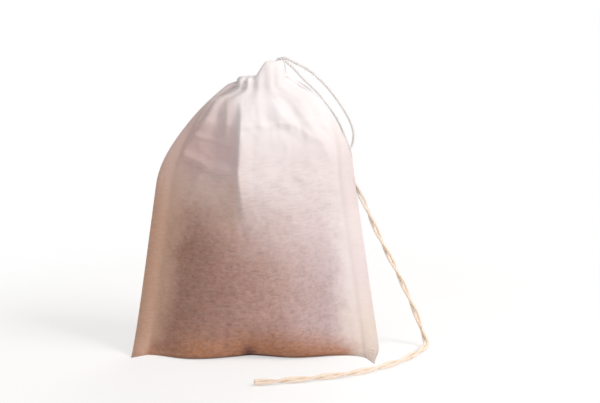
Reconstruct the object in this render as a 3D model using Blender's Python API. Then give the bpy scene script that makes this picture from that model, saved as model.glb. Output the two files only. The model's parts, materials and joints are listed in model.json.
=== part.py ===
"""Drawstring tea bag: a filter paper bag, gathered shut at its hem, standing on its filled bottom.

X runs across the bag, Y through it (the front faces -Y) and Z up. The origin is on the table,
under the middle of the bag. Lengths are in metres.
"""

import math

import bmesh
import bpy
from mathutils import Vector

MM = 0.001

# The paper
PAPER = 0.25 * MM
SEAM_THICKNESS = 0.45 * MM
SEAM_WIDTH = 4.0 * MM
BAG_WIDTH = 70.0 * MM

# The filled body, as it stands
BASE_CURL = 0.6 * MM
SHOULDER_HEIGHT = 47.0 * MM
SHOULDER_HALF_WIDTH = 27.4 * MM
SHOULDER_ROUNDNESS = 2.45
BELLY_DEPTH = 12.0 * MM
BELLY_TOP_SHARE = 0.72
BELLY_ROUNDNESS = 1.35
BASE_ROUNDING = 6.5 * MM
BASE_UNDERCUT = 4.0 * MM
BASE_PINCH = 3.6 * MM
BASE_PINCH_MIDDLE = -0.5 * MM
BASE_PINCH_WIDTH = 9.0 * MM
BASE_PINCH_HEIGHT = 14.0 * MM
BACK_PINCH_SHARE = 0.5
LEFT_CORNER_REACH = 4.0 * MM
RIGHT_CORNER_REACH = 7.0 * MM
CORNER_HEIGHT = 9.0 * MM

# The gathered mouth
MOUTH_HEIGHT = 77.0 * MM
MOUTH_SHIFT = 1.8 * MM
PEAK_RISE = 4.4 * MM
PEAK_ANGLE = 40.0
FRONT_FLANK_START = 32.0
FRONT_FLANK_END = 76.0
BACK_FLANK_START = 18.0
BACK_FLANK_END = 60.0
STRING_FLANK_END = 95.0
HEM_DEPTH = 12.0 * MM
PLEATS_A_PANEL = 7
PLEAT_DEPTH = 1.0 * MM
PLEATS_STRONG_AT = 0.22
PLEATS_STRONG_SPREAD = 0.17
WEAK_PLEAT_SHARE = 0.2
PLEATS_OVER_SHOULDER = 6.0 * MM
PLEATS_UNDER_MOUTH = 3.0 * MM
FLAP_PLEAT_DEPTH = 1.2 * MM
HEM_SEAL = 1.5 * MM
HEM_SLACK = 0.3 * MM
HEM_WELT = 0.45 * MM
HEM_WELT_SPREAD = 1.2 * MM
HEM_LIFT_START = 2.0 * MM
NECK_HEIGHT = 6.5 * MM
RIGHT_SEAM_TUCK = 0.5
NOTCH_HALF_ANGLE = 26.0
NOTCH_FROM, NOTCH_TO = 35, 145

# The drawstring
STRING = 0.85 * MM
CLEARANCE = 0.3 * MM
TUNNEL_CLEARANCE = 0.45 * MM
TABLE_CLEARANCE = 0.1 * MM
LOOP_HALF_LENGTH = 5.2 * MM
LOOP_HALF_DEPTH = 2.9 * MM
STRING_SHARE_OF_RISE = 0.6
EXIT_TURN = 30.0
STRING_POINTS_IN_HEM = 44
TAIL_POINTS = 80
TWIST_LENGTH = 19.0 * MM
SPREAD_AT_SHOULDER = 1.5 * MM
SPREAD_LEAN = math.radians(24)
SPREAD_START = 4.0 * MM
SPREAD_END = 39.0 * MM
SPREAD_EASE = 8.5 * MM
TWIST_START = 35.3 * MM

# The tea
TEA_HEIGHT = 46.0 * MM
TEA_SLOPE = 0.10
TEA_MARGIN = 7.5 * MM
TEA_LUMP_PITCH = 5.7 * MM
TEA_LUMP_DEPTH = 1.0 * MM

# How finely the paper is divided
PANEL_COLUMNS = 32
HEM_TURN = STRING / 2 + TUNNEL_CLEARANCE + PAPER


def clamp01(value):
    return max(0.0, min(1.0, value))


def smooth(start, end, value):
    """Ease from 0 at start to 1 at end."""
    t = clamp01((value - start) / (end - start))
    return t * t * (3 - 2 * t)


def mix(a, b, t):
    return a + (b - a) * t


def material(name, colour, roughness):
    made = bpy.data.materials.new(name)
    made.use_nodes = True
    shader = made.node_tree.nodes["Principled BSDF"]
    shader.inputs["Base Color"].default_value = (*colour, 1.0)
    shader.inputs["Roughness"].default_value = roughness
    shader.inputs["Metallic"].default_value = 0.0
    return made


def add_object(name, data, surface, collection):
    data.materials.append(surface)
    made = bpy.data.objects.new(name, data)
    collection.objects.link(made)
    return made


# Form of the bag

def hem_start():
    """Height where the hem's inner flap is sealed to the wall."""
    return MOUTH_HEIGHT - HEM_DEPTH


def half_width(z):
    """Half the bag's width, seams included, at height z."""
    base = BAG_WIDTH / 2 - BASE_CURL
    filled = mix(base, SHOULDER_HALF_WIDTH, z / SHOULDER_HEIGHT)
    u = clamp01((z - SHOULDER_HEIGHT) / (MOUTH_HEIGHT - SHOULDER_HEIGHT))
    gathered = LOOP_HALF_LENGTH + HEM_TURN
    return mix(filled, gathered, u ** SHOULDER_ROUNDNESS)


def gather(z):
    """How far the section has gone from a filled pouch, 0, to a gathered neck, 1."""
    return smooth(SHOULDER_HEIGHT, MOUTH_HEIGHT, z)


def middle(z):
    """Sideways shift of the section's middle towards the mouth's."""
    return MOUTH_SHIFT * smooth(SHOULDER_HEIGHT, hem_start(), z)


def half_depth(z):
    """Half the bag's depth at height z."""
    gathered = LOOP_HALF_DEPTH + HEM_TURN
    thinning = SHOULDER_HEIGHT * BELLY_TOP_SHARE
    u = clamp01((z - thinning) / (MOUTH_HEIGHT - thinning))
    depth = mix(BELLY_DEPTH, gathered, u ** BELLY_ROUNDNESS)
    if z < BASE_ROUNDING:
        drop = 1 - z / BASE_ROUNDING
        depth -= BASE_UNDERCUT * (1 - math.sqrt(1 - drop * drop))
    return depth


def pinch(x, z, side):
    """Depth of the dimple that the bottom crease pulls into the foot of each panel."""
    depth = BASE_PINCH * (1.0 if side < 0 else BACK_PINCH_SHARE)
    spread = math.exp(-((x - BASE_PINCH_MIDDLE) / BASE_PINCH_WIDTH) ** 2)
    return depth * spread * (1 - smooth(0, BASE_PINCH_HEIGHT, z))


def section(share, z, side):
    """Point of the unfolded section: share runs 0..1 across a panel, from left to right.

    Filled, it is a pillow with thin edges; gathered, it is an ellipse.
    """
    g = gather(z)
    across = mix(2 * share - 1, -math.cos(math.pi * share), g)
    pillow_power, pillow_root = 2.3, 1.15
    bulge = max(0.0, 1 - abs(across) ** mix(pillow_power, 2.0, g)) ** mix(pillow_root, 0.5, g)
    x = middle(z) + (half_width(z) - SEAM_WIDTH * (1 - g)) * across
    y = side * max(0.0, half_depth(z) - pinch(x, z, side)) * bulge
    return Vector((x, y + seam_offset(x, z), z)), across


def seam_offset(x, z):
    """Forward reach of the two bottom corners, which turn towards the front."""
    fade = math.exp(-z / CORNER_HEIGHT)
    edge = BAG_WIDTH / 2
    left = clamp01(-x / edge) ** 4
    right = clamp01(x / edge) ** 6
    return -(LEFT_CORNER_REACH * left + RIGHT_CORNER_REACH * right) * fade


def crest(x, z, route, left, right):
    """Height of a fold's ridge, 0..1: route is its x at given heights, left and right its slopes."""
    if z >= route[0][1] or z <= route[-1][1]:
        return 0.0
    for (x0, z0), (x1, z1) in zip(route, route[1:]):
        if z0 >= z >= z1:
            ridge = mix(x0, x1, (z0 - z) / (z0 - z1))
            break
    away = x - ridge
    span = left if away < 0 else right
    return clamp01(1 - abs(away) / span)


# Folds pressed into each panel. A place on a panel is a share of half the bag's width, from its middle,
# and a share of the mouth's height. Each fold has its route from top to bottom, its height in pleat
# depths, and how far it spreads to the left and to the right, in shares of half the bag's width.
FRONT_FOLDS = (
    (((-0.10, 1.0), (-0.10, 0.86), (-0.125, 0.69), (-0.085, 0.49)), 3.0, 0.14, 0.40),
    (((-0.17, 0.97), (-0.34, 0.86), (-0.51, 0.75), (-0.63, 0.62)), 1.2, 0.11, 0.14),
    (((0.11, 0.935), (0.215, 0.87), (0.50, 0.775), (0.615, 0.66)), 1.5, 0.14, 0.14),
    (((0.11, 1.0), (0.24, 0.91), (0.34, 0.845), (0.40, 0.75)), -1.2, 0.085, 0.115),
)
BACK_FOLDS = (
    (((0.085, 1.01), (0.03, 0.83), (0.085, 0.65), (0.055, 0.49)), 2.0, 0.26, 0.115),
    (((0.20, 0.97), (0.40, 0.805), (0.57, 0.675), (0.66, 0.57)), 1.2, 0.14, 0.115),
    (((-0.085, 0.99), (-0.285, 0.86), (-0.46, 0.73), (-0.54, 0.61)), 1.3, 0.115, 0.17),
)
# A crease across the front's left shoulder, from end to end
LEFT_CREASE = ((-0.63, 0.71), (-0.14, 0.655))
LEFT_CREASE_HEIGHT = 1.4 * MM
LEFT_CREASE_SPREAD = 3.5 * MM
# Shares of a fold's height over which it rises at its foot and fades at its top
FOLD_FOOT_FADE = 0.35
FOLD_TOP_FADE = 0.12


def panel_place(width_share, height_share):
    return width_share * BAG_WIDTH / 2, height_share * MOUTH_HEIGHT


def fold_relief(x, z, side):
    """Outward push of the paper by its folds at a place on one panel."""
    relief = 0.0
    half = BAG_WIDTH / 2
    for route, height, left, right in (FRONT_FOLDS if side < 0 else BACK_FOLDS):
        route = [panel_place(*place) for place in route]
        top, foot = route[0][1], route[-1][1]
        fade = smooth(foot, mix(foot, top, FOLD_FOOT_FADE), z)
        fade *= 1 - smooth(mix(top, foot, FOLD_TOP_FADE), top, z)
        relief += height * PLEAT_DEPTH * fade * crest(x, z, route, left * half, right * half)
    if side < 0:
        (x0, z0), (x1, z1) = (panel_place(*place) for place in LEFT_CREASE)
        line = mix(z0, z1, clamp01((x - x0) / (x1 - x0)))
        end = 0.3 * (x1 - x0)
        span = smooth(x0, x0 + end, x) * (1 - smooth(x1 - end, x1, x))
        relief += LEFT_CREASE_HEIGHT * span * clamp01(1 - abs(z - line) / LEFT_CREASE_SPREAD)
    return relief


def pleat(across, share, side):
    """Height of the gathers round the mouth, 0..1, uneven from one to the next, flat at the seams."""
    start = 0.15 if side < 0 else 0.6
    wave = PLEATS_A_PANEL * share + start + 0.16 * math.sin(5 * share + start)
    height = (0.5 - 0.5 * math.cos(2 * math.pi * wave)) * smooth(0.0, 0.05, 1 - abs(across))
    if side < 0:
        strong = math.exp(-((share - PLEATS_STRONG_AT) / PLEATS_STRONG_SPREAD) ** 2)
        height *= mix(WEAK_PLEAT_SHARE, 1.0, strong)
    return height


def turn_of(across):
    """Angle round the mouth from the right seam, in degrees."""
    return math.degrees(math.acos(max(-1.0, min(1.0, across))))


def peak(across, side):
    """Rise of the mouth's edge where the string has pulled it up, 0..1."""
    start, end = (FRONT_FLANK_START, FRONT_FLANK_END) if side < 0 else (BACK_FLANK_START, BACK_FLANK_END)
    return 1 - smooth(PEAK_ANGLE + start, PEAK_ANGLE + end, turn_of(across))


def string_rise(across, side):
    """Rise of the string in the hem towards the peak, less and gentler than the edge's."""
    flank = peak(across, side) if side > 0 else 1 - smooth(0, STRING_FLANK_END, turn_of(across))
    return STRING_SHARE_OF_RISE * PEAK_RISE * flank ** 2


def loop_point(across, side):
    """Middle of the string in the hem, straight in from a place on the mouth's edge."""
    y = side * LOOP_HALF_DEPTH * math.sqrt(max(0.0, 1 - across * across))
    z = MOUTH_HEIGHT - HEM_TURN + string_rise(across, side)
    return Vector((MOUTH_SHIFT + LOOP_HALF_LENGTH * across, y, z))


def loop_outward(across, side):
    """Level direction that points out of the mouth, square to the string."""
    y = side * math.sqrt(max(0.0, 1 - across * across)) / LOOP_HALF_DEPTH
    return Vector((across / LOOP_HALF_LENGTH, y, 0)).normalized()


def wall_point(share, z, side):
    """Outer face of the wall at nominal height z, with its folds and gathers."""
    point, across = section(share, z, side)
    growth = smooth(SHOULDER_HEIGHT + PLEATS_OVER_SHOULDER, MOUTH_HEIGHT - PLEATS_UNDER_MOUTH, z) ** 1.3
    gathers = PLEAT_DEPTH * growth * pleat(across, share, side)
    welt = HEM_WELT * math.exp(-((z - hem_start()) / HEM_WELT_SPREAD) ** 2)
    folds = (fold_relief(point.x, z, side) + welt) * smooth(0.0, 0.16, 1 - abs(across))
    upright = Vector((0, side, 0)) * math.sqrt(max(0.0, 1 - across * across))
    sideways = Vector((across, 0, 0)) * abs(across) ** 2
    point += (upright + sideways) * (gathers + folds)
    if z > hem_start():
        mouth_across = -math.cos(math.pi * share)
        ring = loop_point(mouth_across, side)
        ring += loop_outward(mouth_across, side) * (HEM_TURN + gathers)
        closing = smooth(hem_start(), MOUTH_HEIGHT - 2 * HEM_TURN, z)
        narrowing = smooth(MOUTH_HEIGHT - NECK_HEIGHT, MOUTH_HEIGHT - 2 * HEM_TURN, z)
        point.x = mix(point.x, ring.x, narrowing)
        point.y = mix(point.y, ring.y, closing)
    point.z += string_rise(across, side) * smooth(hem_start() - HEM_LIFT_START, MOUTH_HEIGHT - HEM_TURN, z)
    return point


def hem_point(share, side, turn):
    """Face of the hem round the string: turn is 0 outside, 90 at the mouth's edge, 180 in the throat."""
    across = -math.cos(math.pi * share)
    centre = loop_point(across, side)
    edge = MOUTH_HEIGHT + PEAK_RISE * peak(across, side)
    out = math.cos(math.radians(turn))
    ripple = pleat(across, share, side)
    ripple *= PLEAT_DEPTH if out > 0 else FLAP_PLEAT_DEPTH * (1 - across * across)
    level = loop_outward(across, side) * (HEM_TURN + ripple) * out
    height = mix(centre.z, edge, math.sin(math.radians(turn)))
    return Vector((centre.x, centre.y, height)) + level


def flap_point(share, side, down):
    """Throat face of the hem's flap: down runs from 0 at the string to 1 at the seal."""
    top = hem_point(share, side, 180)
    z = mix(MOUTH_HEIGHT - HEM_TURN, hem_start() + HEM_SEAL, down)
    across = -math.cos(math.pi * share)
    low = wall_point(share, z, side) - loop_outward(across, side) * (2 * PAPER + HEM_SLACK)
    return top.lerp(low, down)


# The shell: a grid of paper with an outer and an inner face

def columns():
    """Places round the bag as (side, share, part), where part is the panel, the seam or its edge."""
    front = [(-1, k / PANEL_COLUMNS, "panel") for k in range(1, PANEL_COLUMNS)]
    right = [(-1, 1.0, "seam"), (-1, 1.0, "edge"), (1, 1.0, "edge"), (1, 1.0, "seam")]
    back = [(1, share, part) for _, share, part in reversed(front)]
    left = [(1, 0.0, "seam"), (1, 0.0, "edge"), (-1, 0.0, "edge"), (-1, 0.0, "seam")]
    return front + right + back + left


def rows():
    """Steps up the paper as (kind, value), from the bottom crease to the hem's inner seal."""
    under = [("under", share) for share in (0.0, 0.55, 1.0)]
    foot = [("wall", BASE_ROUNDING * share) for share in (0.12, 0.4, 1.0)]
    shares = (0.1, 0.25, 0.42, 0.6, 0.78, 0.9, 1.0)
    belly = [("wall", mix(BASE_ROUNDING, SHOULDER_HEIGHT, share)) for share in shares]
    neck = [("wall", mix(SHOULDER_HEIGHT, hem_start(), k / 7)) for k in range(1, 8)]
    seal = [("wall", hem_start() + HEM_SEAL)]
    top = MOUTH_HEIGHT - 2 * HEM_TURN
    hem = [("wall", mix(hem_start() + HEM_SEAL, top, k / 3)) for k in range(1, 4)]
    turn = [("hem", angle) for angle in (0, 35, 65, 90, 115, 145, 180)]
    flap = [("flap", down) for down in (0.25, 0.55, 0.85)]
    return under + foot + belly + neck + seal + hem + turn + flap + [("sealed", 0)]


def outer_point(row, column):
    """Outer face of the paper at a row and a column."""
    kind, value = row
    side, share, part = column
    if kind == "hem":
        return hem_point(share, side, value)
    if kind == "flap":
        return flap_point(share, side, value)
    z = value if kind == "wall" else 0.0
    point = wall_point(share, z, side)
    if part != "panel":
        point.y += side * SEAM_THICKNESS / 2
    if part == "edge":
        seam_edge = middle(z) + math.copysign(half_width(z), share - 0.5)
        tuck = RIGHT_SEAM_TUCK * smooth(MOUTH_HEIGHT - NECK_HEIGHT, MOUTH_HEIGHT - 2 * HEM_TURN, z)
        point.x = mix(seam_edge, point.x, tuck if share > 0.5 else 0.0)
        point.y += seam_offset(point.x, z) - seam_offset(point.x - math.copysign(SEAM_WIDTH, share - 0.5), z)
    if kind == "under":
        crease = seam_offset(point.x, 0.0)
        point.y = mix(crease, point.y, value)
    return point


def face_normals(grid):
    """Outward direction at each grid point, from its neighbours."""
    normals = []
    last = len(grid) - 1
    for r, line in enumerate(grid):
        above, below = grid[min(r + 1, last)], grid[max(r - 1, 0)]
        count = len(line)
        normals.append([
            (line[(c + 1) % count] - line[c - 1]).cross(above[c] - below[c]).normalized()
            for c in range(count)
        ])
    return normals


def bag_mesh():
    """The paper as one closed solid: outer face, inner face, and the edges of the string's opening."""
    places, steps = columns(), rows()
    kinds = [kind for kind, _ in steps]
    sealed = kinds.index("sealed")
    high = steps.index(("wall", hem_start() + HEM_SEAL))
    low = high - 1
    outer = [[outer_point(row, place) for place in places] for row in steps[:sealed]]
    normals = face_normals(outer)
    build = bmesh.new()
    made = {}

    def vertex(key, point):
        if key not in made:
            made[key] = build.verts.new(point)
        return made[key]

    def outer_vertex(r, c):
        if r == sealed:
            return inner_vertex(low, c)
        side, share, part = places[c]
        key = ["outer", r, side, share, part]
        if r == 0:
            key[2] = 0
        if kinds[r] in ("hem", "flap") and part != "panel":
            key[2:] = [0, share, "seam"]
        return vertex(tuple(key), outer[r][c])

    def inner_vertex(r, c):
        if r == sealed:
            return inner_vertex(high, c)
        side, share, part = places[c]
        if part != "panel":
            point = outer[r][c].copy()
            if kinds[r] in ("under", "wall"):
                seam = wall_point(share, steps[r][1] if kinds[r] == "wall" else 0.0, side)
                point = Vector((seam.x + math.copysign(PAPER, 0.5 - share), seam.y, seam.z))
                if kinds[r] == "under":
                    point.z += PAPER
            else:
                point -= seam_outward(r, share) * PAPER
            return vertex(("inner", r, 0, share, "seam"), point)
        key = ("inner", r, 0 if r == 0 else side, share, part)
        return vertex(key, outer[r][c] - normals[r][c] * PAPER)

    def seam_outward(r, share):
        angle = math.radians(steps[r][1]) if kinds[r] == "hem" else math.pi
        level = math.copysign(math.cos(angle), share - 0.5) * abs(math.cos(angle))
        return Vector((level, 0, math.sin(angle)))

    def face(corners):
        unique = list(dict.fromkeys(corners))
        if len(unique) > 2:
            build.faces.new(unique)

    def rim(start, end):
        """Edge of the paper at the string's opening."""
        face([outer_vertex(*start), outer_vertex(*end), inner_vertex(*end), inner_vertex(*start)])

    def is_open(r, c):
        """Whether the cell above row r and right of column c is part of the string's opening."""
        if not 0 <= r < sealed:
            return False
        if kinds[r] != "hem" or not NOTCH_FROM <= steps[r][1] < NOTCH_TO:
            return False
        here, there = places[c], places[(c + 1) % len(places)]
        if here[0] < 0 or there[0] < 0 or "panel" not in (here[2], there[2]):
            return False
        turn = turn_of(-math.cos(math.pi * (here[1] + there[1]) / 2))
        return abs(turn - PEAK_ANGLE) < NOTCH_HALF_ANGLE

    count = len(places)
    for r in range(sealed):
        for c in range(count):
            n = (c + 1) % count
            if is_open(r, c):
                continue
            in_seam = "panel" not in (places[c][2], places[n][2])
            corners = ((r, c), (r, n), (r + 1, n), (r + 1, c))
            face([outer_vertex(*corner) for corner in corners])
            if r != low and not in_seam:
                face([inner_vertex(*corner) for corner in reversed(corners)])
            low_left, low_right, high_right, high_left = corners
            if is_open(r + 1, c):
                rim(high_left, high_right)
            if is_open(r - 1, c):
                rim(low_right, low_left)
            if is_open(r, n):
                rim(high_right, low_right)
            if is_open(r, (c - 1) % count):
                rim(low_left, high_left)
    bmesh.ops.recalc_face_normals(build, faces=build.faces)
    bmesh.ops.triangulate(build, faces=build.faces)
    mesh = bpy.data.meshes.new("filter_bag")
    build.to_mesh(mesh)
    build.free()
    mesh.shade_smooth()
    return mesh


# The tea

def tea_hollow(x, z, side):
    """Depth of the hollows between the lumps of the heap, 0..1, in uneven rows."""
    u, v = x / TEA_LUMP_PITCH, z / TEA_LUMP_PITCH
    first = math.sin(2 * math.pi * (0.93 * u + 0.31 * v + 0.2 * math.sin(2.1 * v + side)))
    second = math.sin(2 * math.pi * (0.95 * v - 0.27 * u + 0.2 * math.sin(1.7 * u)))
    return 0.5 - 0.25 * (first + second)


def tea_point(turn, up, close):
    """Surface of the tea: turn round it, up from its bottom to its top, close from 1 down to 0."""
    across = math.cos(turn)
    side = -1 if math.sin(turn) < 0 else 1
    foot = PAPER + CLEARANCE
    z = mix(foot, TEA_HEIGHT, up)
    x = (half_width(z) - TEA_MARGIN) * across * close
    share = (x / (half_width(z) - SEAM_WIDTH) + 1) / 2
    paper = wall_point(share, z, side)
    offset = seam_offset(x, z)
    room = abs(paper.y - offset) - PAPER - 2 * CLEARANCE - TEA_LUMP_DEPTH * tea_hollow(x, z, side)
    y = offset + side * max(0.0, room) * (1 - abs(across) ** 6) ** 0.5 * close
    return Vector((x, y, z + TEA_SLOPE * x * up))


def tea_mesh():
    """The loose tea as it fills the bottom of the bag: one solid with a domed top."""
    build = bmesh.new()
    around = 72
    levels = [(0.0, 0.6), (0.0, 0.95)] + [(0.03 + 0.037 * k, 1.0) for k in range(20)]
    levels += [(0.8, 0.97), (0.86, 0.93), (0.91, 0.86), (0.96, 0.7), (0.99, 0.4)]
    rings = []
    for up, close in levels:
        turns = (2 * math.pi * (k + 0.5) / around for k in range(around))
        rings.append([build.verts.new(tea_point(turn, up, close)) for turn in turns])
    for low, high in zip(rings, rings[1:]):
        for k in range(around):
            n = (k + 1) % around
            build.faces.new([low[k], low[n], high[n], high[k]])
    for ring, up in ((rings[0], 0.0), (rings[-1], 1.0)):
        tip = build.verts.new(tea_point(math.pi / 2, up, 0.0))
        for k in range(around):
            build.faces.new([ring[k], ring[(k + 1) % around], tip])
    bmesh.ops.recalc_face_normals(build, faces=build.faces)
    bmesh.ops.triangulate(build, faces=build.faces)
    mesh = bpy.data.meshes.new("tea_leaves")
    build.to_mesh(mesh)
    build.free()
    mesh.shade_smooth()
    return mesh


# The drawstring

# Route of the two tails, as the middle of the pair. Down the side, a point is x and y in millimetres
# and its height as a share of the mouth's. On the table, it is x and y alone.
TAIL_DOWN = (
    (5.8, 1.9, 1.028), (5.8, 1.9, 1.038), (6.2, 1.8, 1.049), (7.2, 1.7, 1.057), (8.6, 1.5, 1.054),
    (10.2, 1.3, 1.041), (12.5, 1.0, 1.020), (15.6, 0.8, 0.986), (18.8, 1.2, 0.943), (21.5, 2.0, 0.897),
    (23.4, 2.7, 0.858), (24.9, 3.2, 0.820), (25.8, 3.3, 0.779), (26.0, 3.0, 0.743), (25.9, 2.7, 0.701),
    (26.2, 2.4, 0.662), (27.2, 1.8, 0.620), (28.5, 1.2, 0.583), (30.1, 0.9, 0.539), (32.4, 1.3, 0.470),
    (34.9, 2.0, 0.400), (37.6, 2.8, 0.330),
    (40.2, 3.6, 0.261), (42.6, 4.4, 0.192), (44.8, 5.1, 0.125), (46.4, 5.3, 0.069), (47.5, 4.3, 0.030),
)
TAIL_ON_TABLE = (
    (47.7, 1.9), (46.2, -1.9), (44.0, -6.1), (41.1, -10.5), (38.0, -14.2), (34.6, -17.5), (31.0, -20.4),
    (26.7, -23.1), (22.4, -25.1), (17.2, -27.2), (12.0, -28.8), (6.1, -30.3), (0.3, -31.4),
)


def tail_route():
    """Points of the pair's middle line, from the string's opening to its free ends."""
    down = [Vector((x * MM, y * MM, share * MOUTH_HEIGHT)) for x, y, share in TAIL_DOWN]
    height = STRING + CLEARANCE / 2 + TABLE_CLEARANCE
    return down + [Vector((x * MM, y * MM, height)) for x, y in TAIL_ON_TABLE]


def through(points, steps):
    """Points read at even spacing from a smooth curve through the given ones."""
    fine = []
    ends = [2 * points[0] - points[1], *points, 2 * points[-1] - points[-2]]
    for a, b, c, d in zip(ends, ends[1:], ends[2:], ends[3:]):
        for k in range(20):
            t = k / 20
            fine.append(0.5 * ((2 * b) + (c - a) * t + (2 * a - 5 * b + 4 * c - d) * t * t
                               + (3 * b - a - 3 * c + d) * t * t * t))
    fine.append(points[-1])
    lengths = [0.0]
    for a, b in zip(fine, fine[1:]):
        lengths.append(lengths[-1] + (b - a).length)
    even, at = [], 0
    for k in range(steps):
        wanted = lengths[-1] * k / (steps - 1)
        while at < len(fine) - 2 and lengths[at + 1] < wanted:
            at += 1
        t = (wanted - lengths[at]) / (lengths[at + 1] - lengths[at])
        even.append(fine[at].lerp(fine[at + 1], t))
    return even, lengths[-1]


def tail_points(sign):
    """Middle line of one tail: spread over the shoulder, then twisted with the other one."""
    pair, length = through(tail_route(), TAIL_POINTS)
    touching = (STRING + CLEARANCE) / 2
    level = Vector((0, 1, 0))
    line = []
    for k, point in enumerate(pair):
        run = length * k / (TAIL_POINTS - 1)
        along = (pair[min(k + 1, TAIL_POINTS - 1)] - pair[max(k - 1, 0)]).normalized()
        level = (level - along * level.dot(along)).normalized()
        inward = level.cross(along)
        joined = smooth(SPREAD_END - SPREAD_EASE, SPREAD_END, run)
        spread = smooth(SPREAD_START, SPREAD_START + SPREAD_EASE, run) * (1 - joined)
        half = mix(touching, SPREAD_AT_SHOULDER, spread)
        angle = mix(SPREAD_LEAN, math.pi / 2, joined)
        angle += 2 * math.pi * max(0.0, run - TWIST_START) / TWIST_LENGTH
        line.append(point + (inward * math.cos(angle) - level * math.sin(angle)) * half * sign)
    return line


def held_points():
    """Middle line of the string in the hem, both ends rising side by side to the opening."""
    line = []
    for k in range(STRING_POINTS_IN_HEM):
        turn = math.radians(PEAK_ANGLE + mix(EXIT_TURN, 360 - EXIT_TURN, k / (STRING_POINTS_IN_HEM - 1)))
        line.append(loop_point(math.cos(turn), 1 if math.sin(turn) > 0 else -1))
    left, right = tail_points(-1), tail_points(1)
    first = left[0] - (left[1] - left[0]).normalized() * CLEARANCE
    last = right[0] - (right[1] - right[0]).normalized() * CLEARANCE
    straight = Vector((0, 0, STRING / 2))
    return through([first, first - straight, *line, last - straight, last], STRING_POINTS_IN_HEM)[0]


def string_curve(name, points):
    curve = bpy.data.curves.new(name, "CURVE")
    curve.dimensions = "3D"
    curve.bevel_depth = STRING / 2
    curve.bevel_resolution = 2
    curve.use_fill_caps = True
    spline = curve.splines.new("POLY")
    spline.points.add(len(points) - 1)
    for target, point in zip(spline.points, points):
        target.co = (*point, 1.0)
    return curve


def main():
    for leftover in list(bpy.data.objects):
        bpy.data.objects.remove(leftover, do_unlink=True)
    collection = bpy.data.collections.new("tea_bag")
    bpy.context.scene.collection.children.link(collection)
    paper = material("filter_paper", (0.80, 0.68, 0.62), 0.85)
    tea = material("dried_tea", (0.16, 0.07, 0.04), 0.9)
    cotton = material("cotton_string", (0.86, 0.76, 0.66), 0.9)
    add_object("filter_bag", bag_mesh(), paper, collection)
    add_object("tea_leaves", tea_mesh(), tea, collection)
    strings = {
        "drawstring_in_hem": held_points(),
        "drawstring_tail_left": tail_points(-1),
        "drawstring_tail_right": tail_points(1),
    }
    for name, points in strings.items():
        add_object(name, string_curve(name, points), cotton, collection)


main()
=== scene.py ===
"""Looks of the drawstring tea bag: translucent filter paper over loose tea, and twisted cotton string.

X runs across the bag, Y through it (the front faces -Y) and Z up. Lengths are in metres.
"""

import json
import math
import random
from types import SimpleNamespace

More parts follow.
